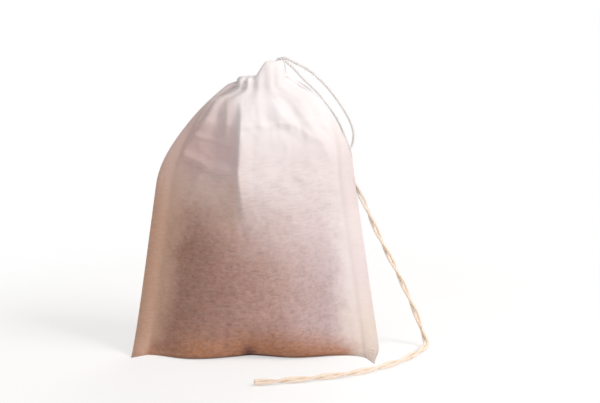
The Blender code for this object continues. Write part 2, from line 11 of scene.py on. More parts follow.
import bmesh
import bpy
from mathutils import Vector, noise
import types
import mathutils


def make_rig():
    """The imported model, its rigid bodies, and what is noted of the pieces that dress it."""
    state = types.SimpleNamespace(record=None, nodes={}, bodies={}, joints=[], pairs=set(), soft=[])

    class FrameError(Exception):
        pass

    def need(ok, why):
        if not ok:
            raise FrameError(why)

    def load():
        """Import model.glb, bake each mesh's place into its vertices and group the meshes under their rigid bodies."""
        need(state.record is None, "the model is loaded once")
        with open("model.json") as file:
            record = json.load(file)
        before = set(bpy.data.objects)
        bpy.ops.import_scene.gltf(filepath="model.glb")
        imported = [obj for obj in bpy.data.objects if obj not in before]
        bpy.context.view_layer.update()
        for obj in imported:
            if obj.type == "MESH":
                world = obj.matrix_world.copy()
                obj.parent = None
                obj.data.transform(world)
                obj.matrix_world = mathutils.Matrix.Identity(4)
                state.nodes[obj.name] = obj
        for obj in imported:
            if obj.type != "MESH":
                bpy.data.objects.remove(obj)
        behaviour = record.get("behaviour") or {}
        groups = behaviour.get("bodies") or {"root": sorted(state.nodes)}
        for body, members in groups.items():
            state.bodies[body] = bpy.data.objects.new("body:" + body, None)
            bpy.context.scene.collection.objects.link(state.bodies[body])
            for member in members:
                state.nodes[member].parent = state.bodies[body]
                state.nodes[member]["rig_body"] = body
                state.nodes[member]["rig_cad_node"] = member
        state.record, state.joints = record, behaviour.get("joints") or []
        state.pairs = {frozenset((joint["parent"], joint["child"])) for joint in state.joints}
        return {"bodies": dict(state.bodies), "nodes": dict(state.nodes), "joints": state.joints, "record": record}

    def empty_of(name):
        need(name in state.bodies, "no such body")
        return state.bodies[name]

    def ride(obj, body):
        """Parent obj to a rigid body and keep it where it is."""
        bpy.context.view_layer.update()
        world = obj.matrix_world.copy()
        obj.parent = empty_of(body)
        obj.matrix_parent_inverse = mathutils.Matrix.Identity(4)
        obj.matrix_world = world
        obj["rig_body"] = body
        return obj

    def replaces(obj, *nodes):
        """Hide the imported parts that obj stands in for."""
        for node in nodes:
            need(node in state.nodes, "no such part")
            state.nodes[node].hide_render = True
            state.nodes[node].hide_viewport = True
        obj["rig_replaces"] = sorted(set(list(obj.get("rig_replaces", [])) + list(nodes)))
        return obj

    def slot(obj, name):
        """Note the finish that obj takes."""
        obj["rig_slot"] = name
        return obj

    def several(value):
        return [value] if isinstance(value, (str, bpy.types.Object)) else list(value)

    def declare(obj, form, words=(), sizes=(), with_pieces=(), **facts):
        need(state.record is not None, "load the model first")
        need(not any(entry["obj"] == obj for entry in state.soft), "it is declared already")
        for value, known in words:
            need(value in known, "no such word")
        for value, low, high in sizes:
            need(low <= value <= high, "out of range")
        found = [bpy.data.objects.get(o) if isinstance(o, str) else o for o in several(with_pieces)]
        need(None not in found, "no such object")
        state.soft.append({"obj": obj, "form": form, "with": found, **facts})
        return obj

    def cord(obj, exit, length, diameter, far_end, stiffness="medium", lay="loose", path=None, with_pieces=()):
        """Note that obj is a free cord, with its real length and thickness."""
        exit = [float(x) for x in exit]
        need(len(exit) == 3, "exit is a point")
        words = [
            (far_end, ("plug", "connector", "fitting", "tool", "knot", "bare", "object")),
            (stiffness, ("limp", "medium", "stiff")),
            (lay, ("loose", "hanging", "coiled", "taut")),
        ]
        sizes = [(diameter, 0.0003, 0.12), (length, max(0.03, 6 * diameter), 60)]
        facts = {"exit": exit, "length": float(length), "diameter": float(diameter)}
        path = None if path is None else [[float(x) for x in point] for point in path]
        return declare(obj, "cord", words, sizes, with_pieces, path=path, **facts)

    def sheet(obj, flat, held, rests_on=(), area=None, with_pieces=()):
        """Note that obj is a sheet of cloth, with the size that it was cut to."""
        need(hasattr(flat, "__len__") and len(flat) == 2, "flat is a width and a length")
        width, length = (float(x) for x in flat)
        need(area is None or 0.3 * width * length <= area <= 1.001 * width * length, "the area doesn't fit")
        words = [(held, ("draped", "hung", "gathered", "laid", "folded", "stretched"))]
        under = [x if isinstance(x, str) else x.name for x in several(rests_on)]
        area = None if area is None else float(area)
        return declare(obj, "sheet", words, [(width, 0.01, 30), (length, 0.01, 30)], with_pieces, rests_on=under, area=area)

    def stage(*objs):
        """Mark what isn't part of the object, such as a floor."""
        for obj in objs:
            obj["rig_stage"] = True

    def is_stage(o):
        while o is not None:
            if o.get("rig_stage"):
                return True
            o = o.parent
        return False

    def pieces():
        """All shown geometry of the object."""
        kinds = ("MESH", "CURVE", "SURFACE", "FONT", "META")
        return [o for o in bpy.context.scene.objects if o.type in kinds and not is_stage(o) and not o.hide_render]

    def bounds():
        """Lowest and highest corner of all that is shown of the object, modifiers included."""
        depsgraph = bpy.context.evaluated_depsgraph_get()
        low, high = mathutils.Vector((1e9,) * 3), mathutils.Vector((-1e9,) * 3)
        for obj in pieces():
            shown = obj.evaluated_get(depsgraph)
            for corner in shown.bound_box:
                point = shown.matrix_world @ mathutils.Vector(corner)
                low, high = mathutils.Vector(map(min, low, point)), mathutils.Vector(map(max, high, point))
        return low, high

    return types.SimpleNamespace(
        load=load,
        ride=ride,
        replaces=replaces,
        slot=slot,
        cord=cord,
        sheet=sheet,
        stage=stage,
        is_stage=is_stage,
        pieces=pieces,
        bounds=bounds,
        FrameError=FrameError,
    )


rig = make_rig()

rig.load()
cad_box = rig.bounds()

MM = 0.001

# The paper, as in the solids, but as thin as it really is
PAPER = 0.12 * MM
SEAM_THICKNESS = 0.35 * MM
SEAM_WIDTH = 4.0 * MM
BAG_WIDTH = 70.0 * MM
SHEET_LENGTH = 0.204

# The filled body, as it stands
BASE_CURL = 0.6 * MM
SHOULDER_HEIGHT = 47.0 * MM
SHOULDER_HALF_WIDTH = 27.4 * MM
SHOULDER_ROUNDNESS = 2.45
BELLY_DEPTH = 12.0 * MM
BELLY_TOP_SHARE = 0.72
BELLY_ROUNDNESS = 1.35
PILLOW_POWER = 2.3
PILLOW_ROOT = 1.15
BASE_ROUNDING = 6.5 * MM
BASE_UNDERCUT = 4.0 * MM
BASE_PINCH = 3.6 * MM
BASE_PINCH_MIDDLE = -0.5 * MM
BASE_PINCH_WIDTH = 9.0 * MM
BASE_PINCH_HEIGHT = 14.0 * MM
BACK_PINCH_SHARE = 0.5
LEFT_CORNER_REACH = 4.0 * MM
RIGHT_CORNER_REACH = 7.0 * MM
CORNER_HEIGHT = 9.0 * MM
LEFT_CORNER_POWER = 4
TIP_POWER = 6
LEFT_TIP_REACH = 3.0 * MM
RIGHT_TIP_REACH = 9.0 * MM
RIGHT_TIP_TURN = 1.9 * MM
TIP_HEIGHT = 4.0 * MM
TIP_TURN_HEIGHT = 1.8 * MM
LEFT_FOOT_REACH = 2.5 * MM
LEFT_FOOT_MIDDLE = -20.0 * MM
LEFT_FOOT_WIDTH = 8.0 * MM

# The gathered mouth
MOUTH_HEIGHT = 77.0 * MM
MOUTH_SHIFT = 1.8 * MM
PEAK_RISE = 4.4 * MM
PEAK_ANGLE = 40.0
FRONT_FLANK_START = 32.0
FRONT_FLANK_END = 76.0
BACK_FLANK_START = 18.0
BACK_FLANK_END = 60.0
STRING_FLANK_END = 95.0
HEM_DEPTH = 12.0 * MM
PLEATS_A_PANEL = 7
PLEAT_DEPTH = 1.0 * MM
PLEAT_START_FRONT = 0.15
PLEAT_START_BACK = 0.6
PLEAT_UNEVENNESS = 0.16
PLEAT_SEAM_FADE = 0.05
PLEAT_GROWTH = 1.3
PLEATS_STRONG_AT = 0.22
PLEATS_STRONG_SPREAD = 0.17
WEAK_PLEAT_SHARE = 0.2
PLEATS_OVER_SHOULDER = 6.0 * MM
PLEATS_UNDER_MOUTH = 3.0 * MM
FLAP_PLEAT_DEPTH = 1.2 * MM
HEM_SEAL = 1.5 * MM
HEM_SLACK = 0.3 * MM
HEM_WELT = 0.45 * MM
HEM_WELT_SPREAD = 1.2 * MM
HEM_LIFT_START = 2.0 * MM
NECK_HEIGHT = 6.5 * MM
RIGHT_SEAM_TUCK = 0.5
SEAM_LEAN = 1.0 * MM
NOTCH_HALF_ANGLE = 26.0
NOTCH_HALF_TURN = 55.0

# The drawstring
STRING = 0.85 * MM
CLEARANCE = 0.3 * MM
TUNNEL_CLEARANCE = 0.45 * MM
TABLE_CLEARANCE = 0.1 * MM
LOOP_HALF_LENGTH = 5.2 * MM
LOOP_HALF_DEPTH = 2.9 * MM
STRING_SHARE_OF_RISE = 0.6
EXIT_TURN = 30.0
STRING_POINTS_IN_HEM = 44
TAIL_POINTS = 80
TWIST_LENGTH = 19.0 * MM
SPREAD_AT_SHOULDER = 1.5 * MM
SPREAD_LEAN = math.radians(24)
SPREAD_START = 4.0 * MM
SPREAD_END = 39.0 * MM
SPREAD_EASE = 8.5 * MM
TWIST_START = 35.3 * MM
TAILS_APART = 0.05 * MM
PLIES = 3
PLY_LAY = 2.6 * MM
PLY_STEPS_A_TURN = 10
PLY_SIDES = 7
PLY_RADIUS = 0.245 * STRING
PLY_LOOSENESS = 0.05
PLY_UNEVENNESS = 0.09
HAIRS_A_MM = 2.2
HAIR_RADIUS = 0.011 * MM
HAIR_REACH = (0.10 * MM, 0.42 * MM)
HAIR_SLIDE = 1.2 * MM
PATH_POINTS = 240

# The tea
TEA_HEIGHT = 46.0 * MM
TEA_SLOPE = 0.10
TEA_MARGIN = 7.5 * MM
TEA_LUMP_PITCH = 5.7 * MM
TEA_LUMP_DEPTH = 1.0 * MM
SOLID_PAPER = 0.25 * MM
TEA_RING_POINTS = 200
TEA_CORE_SHARE = 0.985
TEA_SIDE_RINGS = 70
TEA_SIDE_START = 0.03
TEA_SIDE_CROWDING = 1.1
TEA_CROWN_RINGS = 10
TEA_CROWN_START = 0.80
TEA_CROWN_RISE = 0.19
TEA_CROWN_STEPS_TO_TIP = 10.6
TEA_END_POWER = 6
TEA_ROUGHNESS = ((1.3 * MM, 0.28), (2.6 * MM, 0.2))
TEA_ROUGHNESS_SINK = 0.2
LEAF_BITS = 3400
LOWEST_LEAF = 1.7 * MM
LEAF_LENGTH = (0.7 * MM, 2.4 * MM)
LEAF_WIDTH_SHARE = (0.25, 0.7)
LEAF_HALF_THICKNESS = (0.05 * MM, 0.10 * MM)
LEAF_CURL = 1.1
LEAF_CURL_RISE = 0.16
LEAF_LEAN = 0.16
LEAF_TAPER = 0.55
LEAF_JAG = 0.2
LEAF_SINK, LEAF_STAND_OFF = -0.25, 0.22
LEAF_CROWN_SPAN = 0.21

HEM_TURN = STRING / 2 + TUNNEL_CLEARANCE + SOLID_PAPER

# How finely the paper is divided, across a panel and up from the bottom crease
PANEL_COLUMNS = 120
UNDER_ROWS = 6
FOOT_ROWS = 9
FOOT_CROWDING = 1.6
BELLY_ROWS = 50
NECK_ROWS = 34
SEAL_ROWS = 4
HEM_ROWS = 14
TURN_STEP = 15
FLAP_ROWS = 9
FLAP_END = 0.85


def clamp01(value):
    return max(0.0, min(1.0, value))


def smooth(start, end, value):
    """Ease from 0 at start to 1 at end."""
    t = clamp01((value - start) / (end - start))
    return t * t * (3 - 2 * t)


def mix(a, b, t):
    return a + (b - a) * t


def hump(value, middle, spread):
    """Smooth bump of height 1 round a middle."""
    return math.exp(-((value - middle) / spread) ** 2)


def arc(across):
    """Height of a unit half circle over a place from -1 to 1."""
    return math.sqrt(max(0.0, 1 - across * across))


def mouth_across(share):
    """Where a share of a panel comes on the gathered mouth, from -1 at its left to 1 at its right."""
    return -math.cos(math.pi * share)


def outward_mesh(name, build, rounded=True):
    """The finished mesh of a piece, with its faces turned outwards."""
    bmesh.ops.recalc_face_normals(build, faces=build.faces)
    mesh = bpy.data.meshes.new(name)
    build.to_mesh(mesh)
    build.free()
    if rounded:
        mesh.shade_smooth()
    return mesh


def join_rings(build, rings):
    """Faces from each ring of corners to the next."""
    for low, high in zip(rings, rings[1:]):
        for k, corner in enumerate(low):
            n = (k + 1) % len(low)
            build.faces.new([corner, low[n], high[n], high[k]])


def add_piece(name, mesh, surface, slot, *nodes):
    """A finished piece, which stands for the given solids."""
    mesh.materials.append(surface)
    piece = bpy.data.objects.new(name, mesh)
    bpy.context.scene.collection.objects.link(piece)
    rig.ride(piece, "root")
    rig.replaces(piece, *nodes)
    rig.slot(piece, slot)
    return piece


# Camera, from the photograph's viewing angle

LENS = 85.0
CAMERA_PLACE = (0.01215, -0.38187, 0.11681)
CAMERA_TILT = 79.0
SENSOR_WIDTH = 36.0
CLIP_START = 0.01


def add_camera():
    data = bpy.data.cameras.new("camera")
    data.lens = LENS
    data.sensor_width = SENSOR_WIDTH
    data.clip_start = CLIP_START
    camera = bpy.data.objects.new("camera", data)
    camera.location = CAMERA_PLACE
    camera.rotation_euler = (math.radians(CAMERA_TILT), 0.0, 0.0)
    bpy.context.scene.collection.objects.link(camera)
    bpy.context.scene.camera = camera


# Form of the bag

def hem_start():
    """Height where the hem's inner flap is sealed to the wall."""
    return MOUTH_HEIGHT - HEM_DEPTH


def half_width(z):
    """Half the bag's width, seams included, at height z."""
    base = BAG_WIDTH / 2 - BASE_CURL
    filled = mix(base, SHOULDER_HALF_WIDTH, z / SHOULDER_HEIGHT)
    u = clamp01((z - SHOULDER_HEIGHT) / (MOUTH_HEIGHT - SHOULDER_HEIGHT))
    gathered = LOOP_HALF_LENGTH + HEM_TURN
    return mix(filled, gathered, u ** SHOULDER_ROUNDNESS)


def gather(z):
    """How far the section has gone from a filled pouch, 0, to a gathered neck, 1."""
    return smooth(SHOULDER_HEIGHT, MOUTH_HEIGHT, z)


def narrowing(z):
    """How far the neck has closed round the string, 0..1."""
    return smooth(MOUTH_HEIGHT - NECK_HEIGHT, MOUTH_HEIGHT - 2 * HEM_TURN, z)


def middle(z):
    """Sideways shift of the section's middle towards the mouth's."""
    return MOUTH_SHIFT * smooth(SHOULDER_HEIGHT, hem_start(), z)


def half_depth(z):
    """Half the bag's depth at height z."""
    gathered = LOOP_HALF_DEPTH + HEM_TURN
    thinning = SHOULDER_HEIGHT * BELLY_TOP_SHARE
    u = clamp01((z - thinning) / (MOUTH_HEIGHT - thinning))
    depth = mix(BELLY_DEPTH, gathered, u ** BELLY_ROUNDNESS)
    if z < BASE_ROUNDING:
        drop = 1 - z / BASE_ROUNDING
        depth -= BASE_UNDERCUT * (1 - math.sqrt(1 - drop * drop))
    return depth


def pinch(x, z, side):
    """Depth of the dimple that the bottom crease pulls into the foot of each panel."""
    depth = BASE_PINCH * (1.0 if side < 0 else BACK_PINCH_SHARE)
    spread = hump(x, BASE_PINCH_MIDDLE, BASE_PINCH_WIDTH)
    return depth * spread * (1 - smooth(0, BASE_PINCH_HEIGHT, z))


def section(share, z, side):
    """Point of the unfolded section: share runs 0..1 across a panel, from left to right.

    Filled, it is a pillow with thin edges; gathered, it is an ellipse.
    """
    g = gather(z)
    across = mix(2 * share - 1, mouth_across(share), g)
    bulge = max(0.0, 1 - abs(across) ** mix(PILLOW_POWER, 2.0, g)) ** mix(PILLOW_ROOT, 0.5, g)
    x = middle(z) + (half_width(z) - SEAM_WIDTH * (1 - g)) * across
    y = side * max(0.0, half_depth(z) - pinch(x, z, side)) * bulge
    return Vector((x, y + seam_offset(x, z), z)), across


def seam_offset(x, z):
    """Forward reach of the foot: of its two corners, and of its fuller left half."""
    fade = math.exp(-z / CORNER_HEIGHT)
    edge = BAG_WIDTH / 2
    left = clamp01(-x / edge) ** LEFT_CORNER_POWER
    right = clamp01(x / edge) ** TIP_POWER
    foot = hump(x, LEFT_FOOT_MIDDLE, LEFT_FOOT_WIDTH)
    reach = (LEFT_CORNER_REACH * left + RIGHT_CORNER_REACH * right + LEFT_FOOT_REACH * foot) * fade
    tips = LEFT_TIP_REACH * clamp01(-x / edge) ** TIP_POWER + RIGHT_TIP_REACH * right
    return -reach - tips * math.exp(-z / TIP_HEIGHT)


def crest(x, z, route, left, right):
    """Height of a fold's ridge, 0..1: route is its x at given heights, left and right its slopes."""
    if z >= route[0][1] or z <= route[-1][1]:
        return 0.0
    for (x0, z0), (x1, z1) in zip(route, route[1:]):
        if z0 >= z >= z1:
            ridge = mix(x0, x1, (z0 - z) / (z0 - z1))
            break
    away = x - ridge
    span = left if away < 0 else right
    return clamp01(1 - abs(away) / span)


# Folds pressed into each panel. A place on a panel is a share of half the bag's width, from its middle,
# and a share of the mouth's height. Each fold has its route from top to bottom, its height in pleat
# depths, and how far it spreads to the left and to the right, in shares of half the bag's width.
FRONT_RIDGE = ((-0.10, 1.0), (-0.10, 0.86), (-0.125, 0.69), (-0.085, 0.49))
FRONT_FOLDS = (
    (FRONT_RIDGE, 3.0, 0.18, 0.40),
    (((-0.17, 0.97), (-0.34, 0.86), (-0.51, 0.75), (-0.63, 0.62)), 1.2, 0.11, 0.14),
    (((0.11, 0.935), (0.215, 0.87), (0.50, 0.775), (0.615, 0.66)), 1.5, 0.14, 0.14),
    (((0.11, 1.0), (0.24, 0.91), (0.34, 0.845), (0.40, 0.75)), -1.2, 0.085, 0.115),
)
BACK_FOLDS = (
    (((0.085, 1.01), (0.03, 0.83), (0.085, 0.65), (0.055, 0.49)), 2.0, 0.26, 0.115),
    (((0.20, 0.97), (0.40, 0.805), (0.57, 0.675), (0.66, 0.57)), 1.2, 0.14, 0.115),
    (((-0.085, 0.99), (-0.285, 0.86), (-0.46, 0.73), (-0.54, 0.61)), 1.3, 0.115, 0.17),
)
FOLD_FOOT_FADE = 0.35
FOLD_TOP_FADE = 0.12
FOLD_SEAM_FADE = 0.16
CREST_POWER = 1.2
# Finer folds, which only the paper shows, in the same form
FRONT_FINE_FOLDS = (
    (FRONT_RIDGE, 0.9, 0.03, 0.11),
    (((-0.17, 1.0), (-0.19, 0.93), (-0.20, 0.86), (-0.22, 0.76)), 0.7, 0.08, 0.04),
    (((0.0, 0.99), (0.02, 0.93), (0.05, 0.86), (0.06, 0.80)), 0.5, 0.05, 0.06),
    (((0.17, 0.99), (0.31, 0.90), (0.44, 0.83), (0.55, 0.74)), 0.6, 0.05, 0.07),
    (((0.60, 0.79), (0.66, 0.755), (0.70, 0.73), (0.72, 0.69)), -0.9, 0.05, 0.05),
    (((0.32, 0.70), (0.38, 0.64), (0.42, 0.57), (0.44, 0.50)), 0.4, 0.08, 0.12),
)
BACK_FINE_FOLDS = (
    (((0.14, 0.99), (0.19, 0.89), (0.24, 0.79), (0.30, 0.70)), 0.7, 0.05, 0.07),
    (((-0.02, 0.99), (-0.06, 0.90), (-0.12, 0.80), (-0.15, 0.70)), 0.6, 0.06, 0.06),
    (((-0.19, 0.98), (-0.36, 0.86), (-0.50, 0.78), (-0.60, 0.68)), 0.6, 0.05, 0.07),
    (((0.36, 0.70), (0.34, 0.62), (0.30, 0.54), (0.28, 0.46)), 0.5, 0.09, 0.12),
)
# Creases across the front's left shoulder: places from left to right, height, and spread above and below
LEFT_CREASES = (
    (((-0.62, 0.742), (-0.448, 0.712), (-0.355, 0.690), (-0.15, 0.686)), 1.5 * MM, 2.3 * MM, 1.1 * MM),
    (((-0.52, 0.835), (-0.43, 0.798), (-0.35, 0.790), (-0.17, 0.765)), 0.6 * MM, 1.2 * MM, 0.8 * MM),
)
CREASE_END_FADE = 0.25
# Dents in the front: x, z, depth and radius
FRONT_DENTS = (
    (-6.4 * MM, 56.2 * MM, 0.9 * MM, 2.8 * MM),
    (-1.6 * MM, 2.2 * MM, 1.0 * MM, 2.2 * MM),
)


# Unevenness of the paper. Sizes are across and up, all in millimetres.
WAVE_SIZE = (11, 9)
WAVE_RISE = 0.28
FINE_CREASES = ((7.0, 0.30), (3.4, 0.13))
CREASE_SHARPNESS = 2.6
CREASE_BEND = 0.4
CREASE_BEND_SIZE = (9, 9)
CREASED_FROM, CREASED_FULLY = 36, 52
SMOOTHER_FROM, SMOOTHER_TO = 62, 74
LEAF_BUMPS = ((2.2, 1.7, 0.16, 9), (1.0, 0.8, 0.09, 17))
LEAF_BUMPS_TO, LEAF_BUMPS_END = 36, 50
CRUMPLE_SEAM_FADE = 0.10
CRUMPLE_FOOT_FADE = 4.0 * MM


def panel_place(width_share, height_share):
    """Place on a panel, in metres, of a share of half the width and of the mouth's height."""
    return width_share * BAG_WIDTH / 2, height_share * MOUTH_HEIGHT


def placed(folds):
    half = BAG_WIDTH / 2
    return [
        ([panel_place(*place) for place in route], height * PLEAT_DEPTH, left * half, right * half)
        for route, height, left, right in folds
    ]


FOLDS_BY_SIDE = {-1: placed(FRONT_FOLDS + FRONT_FINE_FOLDS), 1: placed(BACK_FOLDS + BACK_FINE_FOLDS)}
CREASES = [
    ([panel_place(*place) for place in line], height, above, below)
    for line, height, above, below in LEFT_CREASES
]


def fold_relief(x, z, side):
    """Outward push of the paper by its folds at a place on one panel."""
    relief = 0.0
    for route, height, left, right in FOLDS_BY_SIDE[side]:
        top, foot = route[0][1], route[-1][1]
        if not foot < z < top:
            continue
        fade = smooth(foot, mix(foot, top, FOLD_FOOT_FADE), z)
        fade *= 1 - smooth(mix(top, foot, FOLD_TOP_FADE), top, z)
        relief += height * fade * crest(x, z, route, left, right) ** CREST_POWER
    if side < 0:
        relief += crease_relief(x, z)
    return relief


def crease_relief(x, z):
    """Push of the front's creases and dents at a place on the panel."""
    relief = 0.0
    for places, height, above, below in CREASES:
        first, last = places[0][0], places[-1][0]
        if not first < x < last:
            continue
        for (x0, z0), (x1, z1) in zip(places, places[1:]):
            if x0 <= x <= x1:
                line = mix(z0, z1, (x - x0) / (x1 - x0))
                break
        away = z - line
        end = CREASE_END_FADE * (last - first)
        span = smooth(first, first + end, x) * (1 - smooth(last - end, last, x))
        relief += height * span * clamp01(1 - away / above if away > 0 else 1 + away / below)
    for x0, z0, depth, radius in FRONT_DENTS:
        relief -= depth * math.exp(-((x - x0) ** 2 + (z - z0) ** 2) / radius ** 2)
    return relief


def crumple(point, side):
    """Small uneven push of the paper: soft waves, fine creases, and bumps where leaves press on it."""
    x, z = point.x / MM, point.z / MM
    seed = 40.0 * side

    def uneven(size_across, size_up, salt):
        return noise.noise(Vector((x / size_across, z / size_up, seed + salt)))

    waves = WAVE_RISE * uneven(*WAVE_SIZE, 0)
    ridges = 0.0
    for size, rise in FINE_CREASES:
        bent = x / size + CREASE_BEND * uneven(*CREASE_BEND_SIZE, 3)
        valley = abs(noise.noise(Vector((bent, z / size, seed + size))))
        ridges += rise * (1 - min(1.0, CREASE_SHARPNESS * valley))
    upper = smooth(CREASED_FROM, CREASED_FULLY, z) * (1 - 0.5 * smooth(SMOOTHER_FROM, SMOOTHER_TO, z))
    full = 1 - smooth(LEAF_BUMPS_TO, LEAF_BUMPS_END, z)
    leaves = sum(rise * uneven(wide, high, salt) for wide, high, rise, salt in LEAF_BUMPS)
    return MM * (waves + ridges * mix(0.25, 1.0, upper) + leaves * full)


def pleat(across, share, side):
    """Height of the gathers round the mouth, 0..1, uneven from one to the next, flat at the seams."""
    start = PLEAT_START_FRONT if side < 0 else PLEAT_START_BACK
    wave = PLEATS_A_PANEL * share + start + PLEAT_UNEVENNESS * math.sin(5 * share + start)
    height = 0.5 - 0.5 * math.cos(2 * math.pi * wave)
    height *= smooth(0.0, PLEAT_SEAM_FADE, 1 - abs(across))
    if side < 0:
        height *= mix(WEAK_PLEAT_SHARE, 1.0, hump(share, PLEATS_STRONG_AT, PLEATS_STRONG_SPREAD))
    return height


def turn_of(across):
    """Angle round the mouth from the right seam, in degrees."""
    return math.degrees(math.acos(max(-1.0, min(1.0, across))))


def peak(across, side):
    """Rise of the mouth's edge where the string has pulled it up, 0..1."""
    start, end = (FRONT_FLANK_START, FRONT_FLANK_END) if side < 0 else (BACK_FLANK_START, BACK_FLANK_END)
    return 1 - smooth(PEAK_ANGLE + start, PEAK_ANGLE + end, turn_of(across))


def string_rise(across, side):
    """Rise of the string in the hem towards the peak, less and gentler than the edge's."""
    flank = peak(across, side) if side > 0 else 1 - smooth(0, STRING_FLANK_END, turn_of(across))
    return STRING_SHARE_OF_RISE * PEAK_RISE * flank ** 2


def loop_point(across, side):
    """Middle of the string in the hem, straight in from a place on the mouth's edge."""
    y = side * LOOP_HALF_DEPTH * arc(across)
    z = MOUTH_HEIGHT - HEM_TURN + string_rise(across, side)
    return Vector((MOUTH_SHIFT + LOOP_HALF_LENGTH * across, y, z))


def loop_outward(across, side):
    """Level direction that points out of the mouth, square to the string."""
    y = side * arc(across) / LOOP_HALF_DEPTH
    return Vector((across / LOOP_HALF_LENGTH, y, 0)).normalized()


def wall_point(share, z, side):
    """Outer face of the wall at nominal height z, with its folds and gathers."""
    point, across = section(share, z, side)
    growth = smooth(SHOULDER_HEIGHT + PLEATS_OVER_SHOULDER, MOUTH_HEIGHT - PLEATS_UNDER_MOUTH, z)
    gathers = PLEAT_DEPTH * growth ** PLEAT_GROWTH * pleat(across, share, side)
    welt = HEM_WELT * hump(z, hem_start(), HEM_WELT_SPREAD)
    from_seam = 1 - abs(across)
    folds = (fold_relief(point.x, z, side) + welt) * smooth(0.0, FOLD_SEAM_FADE, from_seam)
    evened = smooth(0.0, CRUMPLE_SEAM_FADE, from_seam) * smooth(0.0, CRUMPLE_FOOT_FADE, z)
    folds += crumple(point, side) * evened
    upright = Vector((0, side, 0)) * arc(across)
    sideways = Vector((across, 0, 0)) * abs(across) ** 2
    point += (upright + sideways) * (gathers + folds)
    if z > hem_start():
        there = mouth_across(share)
        ring = loop_point(there, side) + loop_outward(there, side) * (HEM_TURN + gathers)
        point.x = mix(point.x, ring.x, narrowing(z))
        point.y = mix(point.y, ring.y, smooth(hem_start(), MOUTH_HEIGHT - 2 * HEM_TURN, z))
    point.z += string_rise(across, side) * smooth(hem_start() - HEM_LIFT_START, MOUTH_HEIGHT - HEM_TURN, z)
    return point


def hem_point(share, side, turn):
    """Face of the hem round the string: turn is 0 outside, 90 at the mouth's edge, 180 in the throat."""
    across = mouth_across(share)
    centre = loop_point(across, side)
    edge = MOUTH_HEIGHT + PEAK_RISE * peak(across, side)
    out = math.cos(math.radians(turn))
    ripple = pleat(across, share, side)
    ripple *= PLEAT_DEPTH if out > 0 else FLAP_PLEAT_DEPTH * (1 - across * across)
    level = loop_outward(across, side) * (HEM_TURN + ripple) * out
    height = mix(centre.z, edge, math.sin(math.radians(turn)))
    return Vector((centre.x, centre.y, height)) + level


def flap_point(share, side, down):
    """Throat face of the hem's flap: down runs from 0 at the string to 1 at the seal."""
    top = hem_point(share, side, 180)
    z = mix(MOUTH_HEIGHT - HEM_TURN, hem_start() + HEM_SEAL, down)
    across = mouth_across(share)
    low = wall_point(share, z, side) - loop_outward(across, side) * (2 * PAPER + HEM_SLACK)
    return top.lerp(low, down)


# The shell: a grid of paper with an outer and an inner face

def columns():
    """Places round the bag as (side, share, part), where part is the panel, the seam or its edge."""
    front = [(-1, k / PANEL_COLUMNS, "panel") for k in range(1, PANEL_COLUMNS)]
    right = [(-1, 1.0, "seam"), (-1, 1.0, "edge"), (1, 1.0, "edge"), (1, 1.0, "seam")]
    back = [(1, share, part) for _, share, part in reversed(front)]
    left = [(1, 0.0, "seam"), (1, 0.0, "edge"), (-1, 0.0, "edge"), (-1, 0.0, "seam")]
    return front + right + back + left


def rows():
    """Steps up the paper as (kind, value), from the bottom crease to the hem's inner seal."""

    def walls(start, end, count, crowding=1.0):
        return [("wall", mix(start, end, (k / count) ** crowding)) for k in range(1, count + 1)]

    seal = hem_start() + HEM_SEAL
    steps = [("under", k / UNDER_ROWS) for k in range(UNDER_ROWS + 1)]
    steps += walls(0.0, BASE_ROUNDING, FOOT_ROWS, FOOT_CROWDING)
    steps += walls(BASE_ROUNDING, SHOULDER_HEIGHT, BELLY_ROWS)
    steps += walls(SHOULDER_HEIGHT, hem_start(), NECK_ROWS)
    steps += walls(hem_start(), seal, SEAL_ROWS)
    steps += walls(seal, MOUTH_HEIGHT - 2 * HEM_TURN, HEM_ROWS)
    steps += [("hem", angle) for angle in range(0, 181, TURN_STEP)]
    steps += [("flap", FLAP_END * k / FLAP_ROWS) for k in range(1, FLAP_ROWS + 1)]
    return steps + [("sealed", 0)]


def outer_point(row, column):
    """Outer face of the paper at a row and a column."""
    kind, value = row
    side, share, part = column
    if kind == "hem":
        return hem_point(share, side, value)
    if kind == "flap":
        return flap_point(share, side, value)
    z = value if kind == "wall" else 0.0
    point = wall_point(share, z, side)
    if part != "panel":
        point.y += side * SEAM_THICKNESS / 2
    if part == "edge":
        outwards = 1 if share > 0.5 else -1
        seam_edge = middle(z) + outwards * half_width(z)
        if outwards > 0:
            point.x = mix(seam_edge, point.x, RIGHT_SEAM_TUCK * narrowing(z))
            point.x -= RIGHT_TIP_TURN * hump(z, 0.0, TIP_TURN_HEIGHT)
        else:
            point.x = seam_edge
        point.y += SEAM_LEAN * (1 - math.exp(-z / CORNER_HEIGHT))
        point.y += seam_offset(point.x, z) - seam_offset(point.x - outwards * SEAM_WIDTH, z)
    if kind == "under":
        crease = seam_offset(point.x, 0.0)
        point.y = mix(crease, point.y, value)
    return point


def face_normals(grid):
    """Outward direction at each grid point, from its neighbours."""
    normals = []
    last = len(grid) - 1
    for r, line in enumerate(grid):
        above, below = grid[min(r + 1, last)], grid[max(r - 1, 0)]
        count = len(line)
        normals.append([
            (line[(c + 1) % count] - line[c - 1]).cross(above[c] - below[c]).normalized()
            for c in range(count)
        ])
    return normals


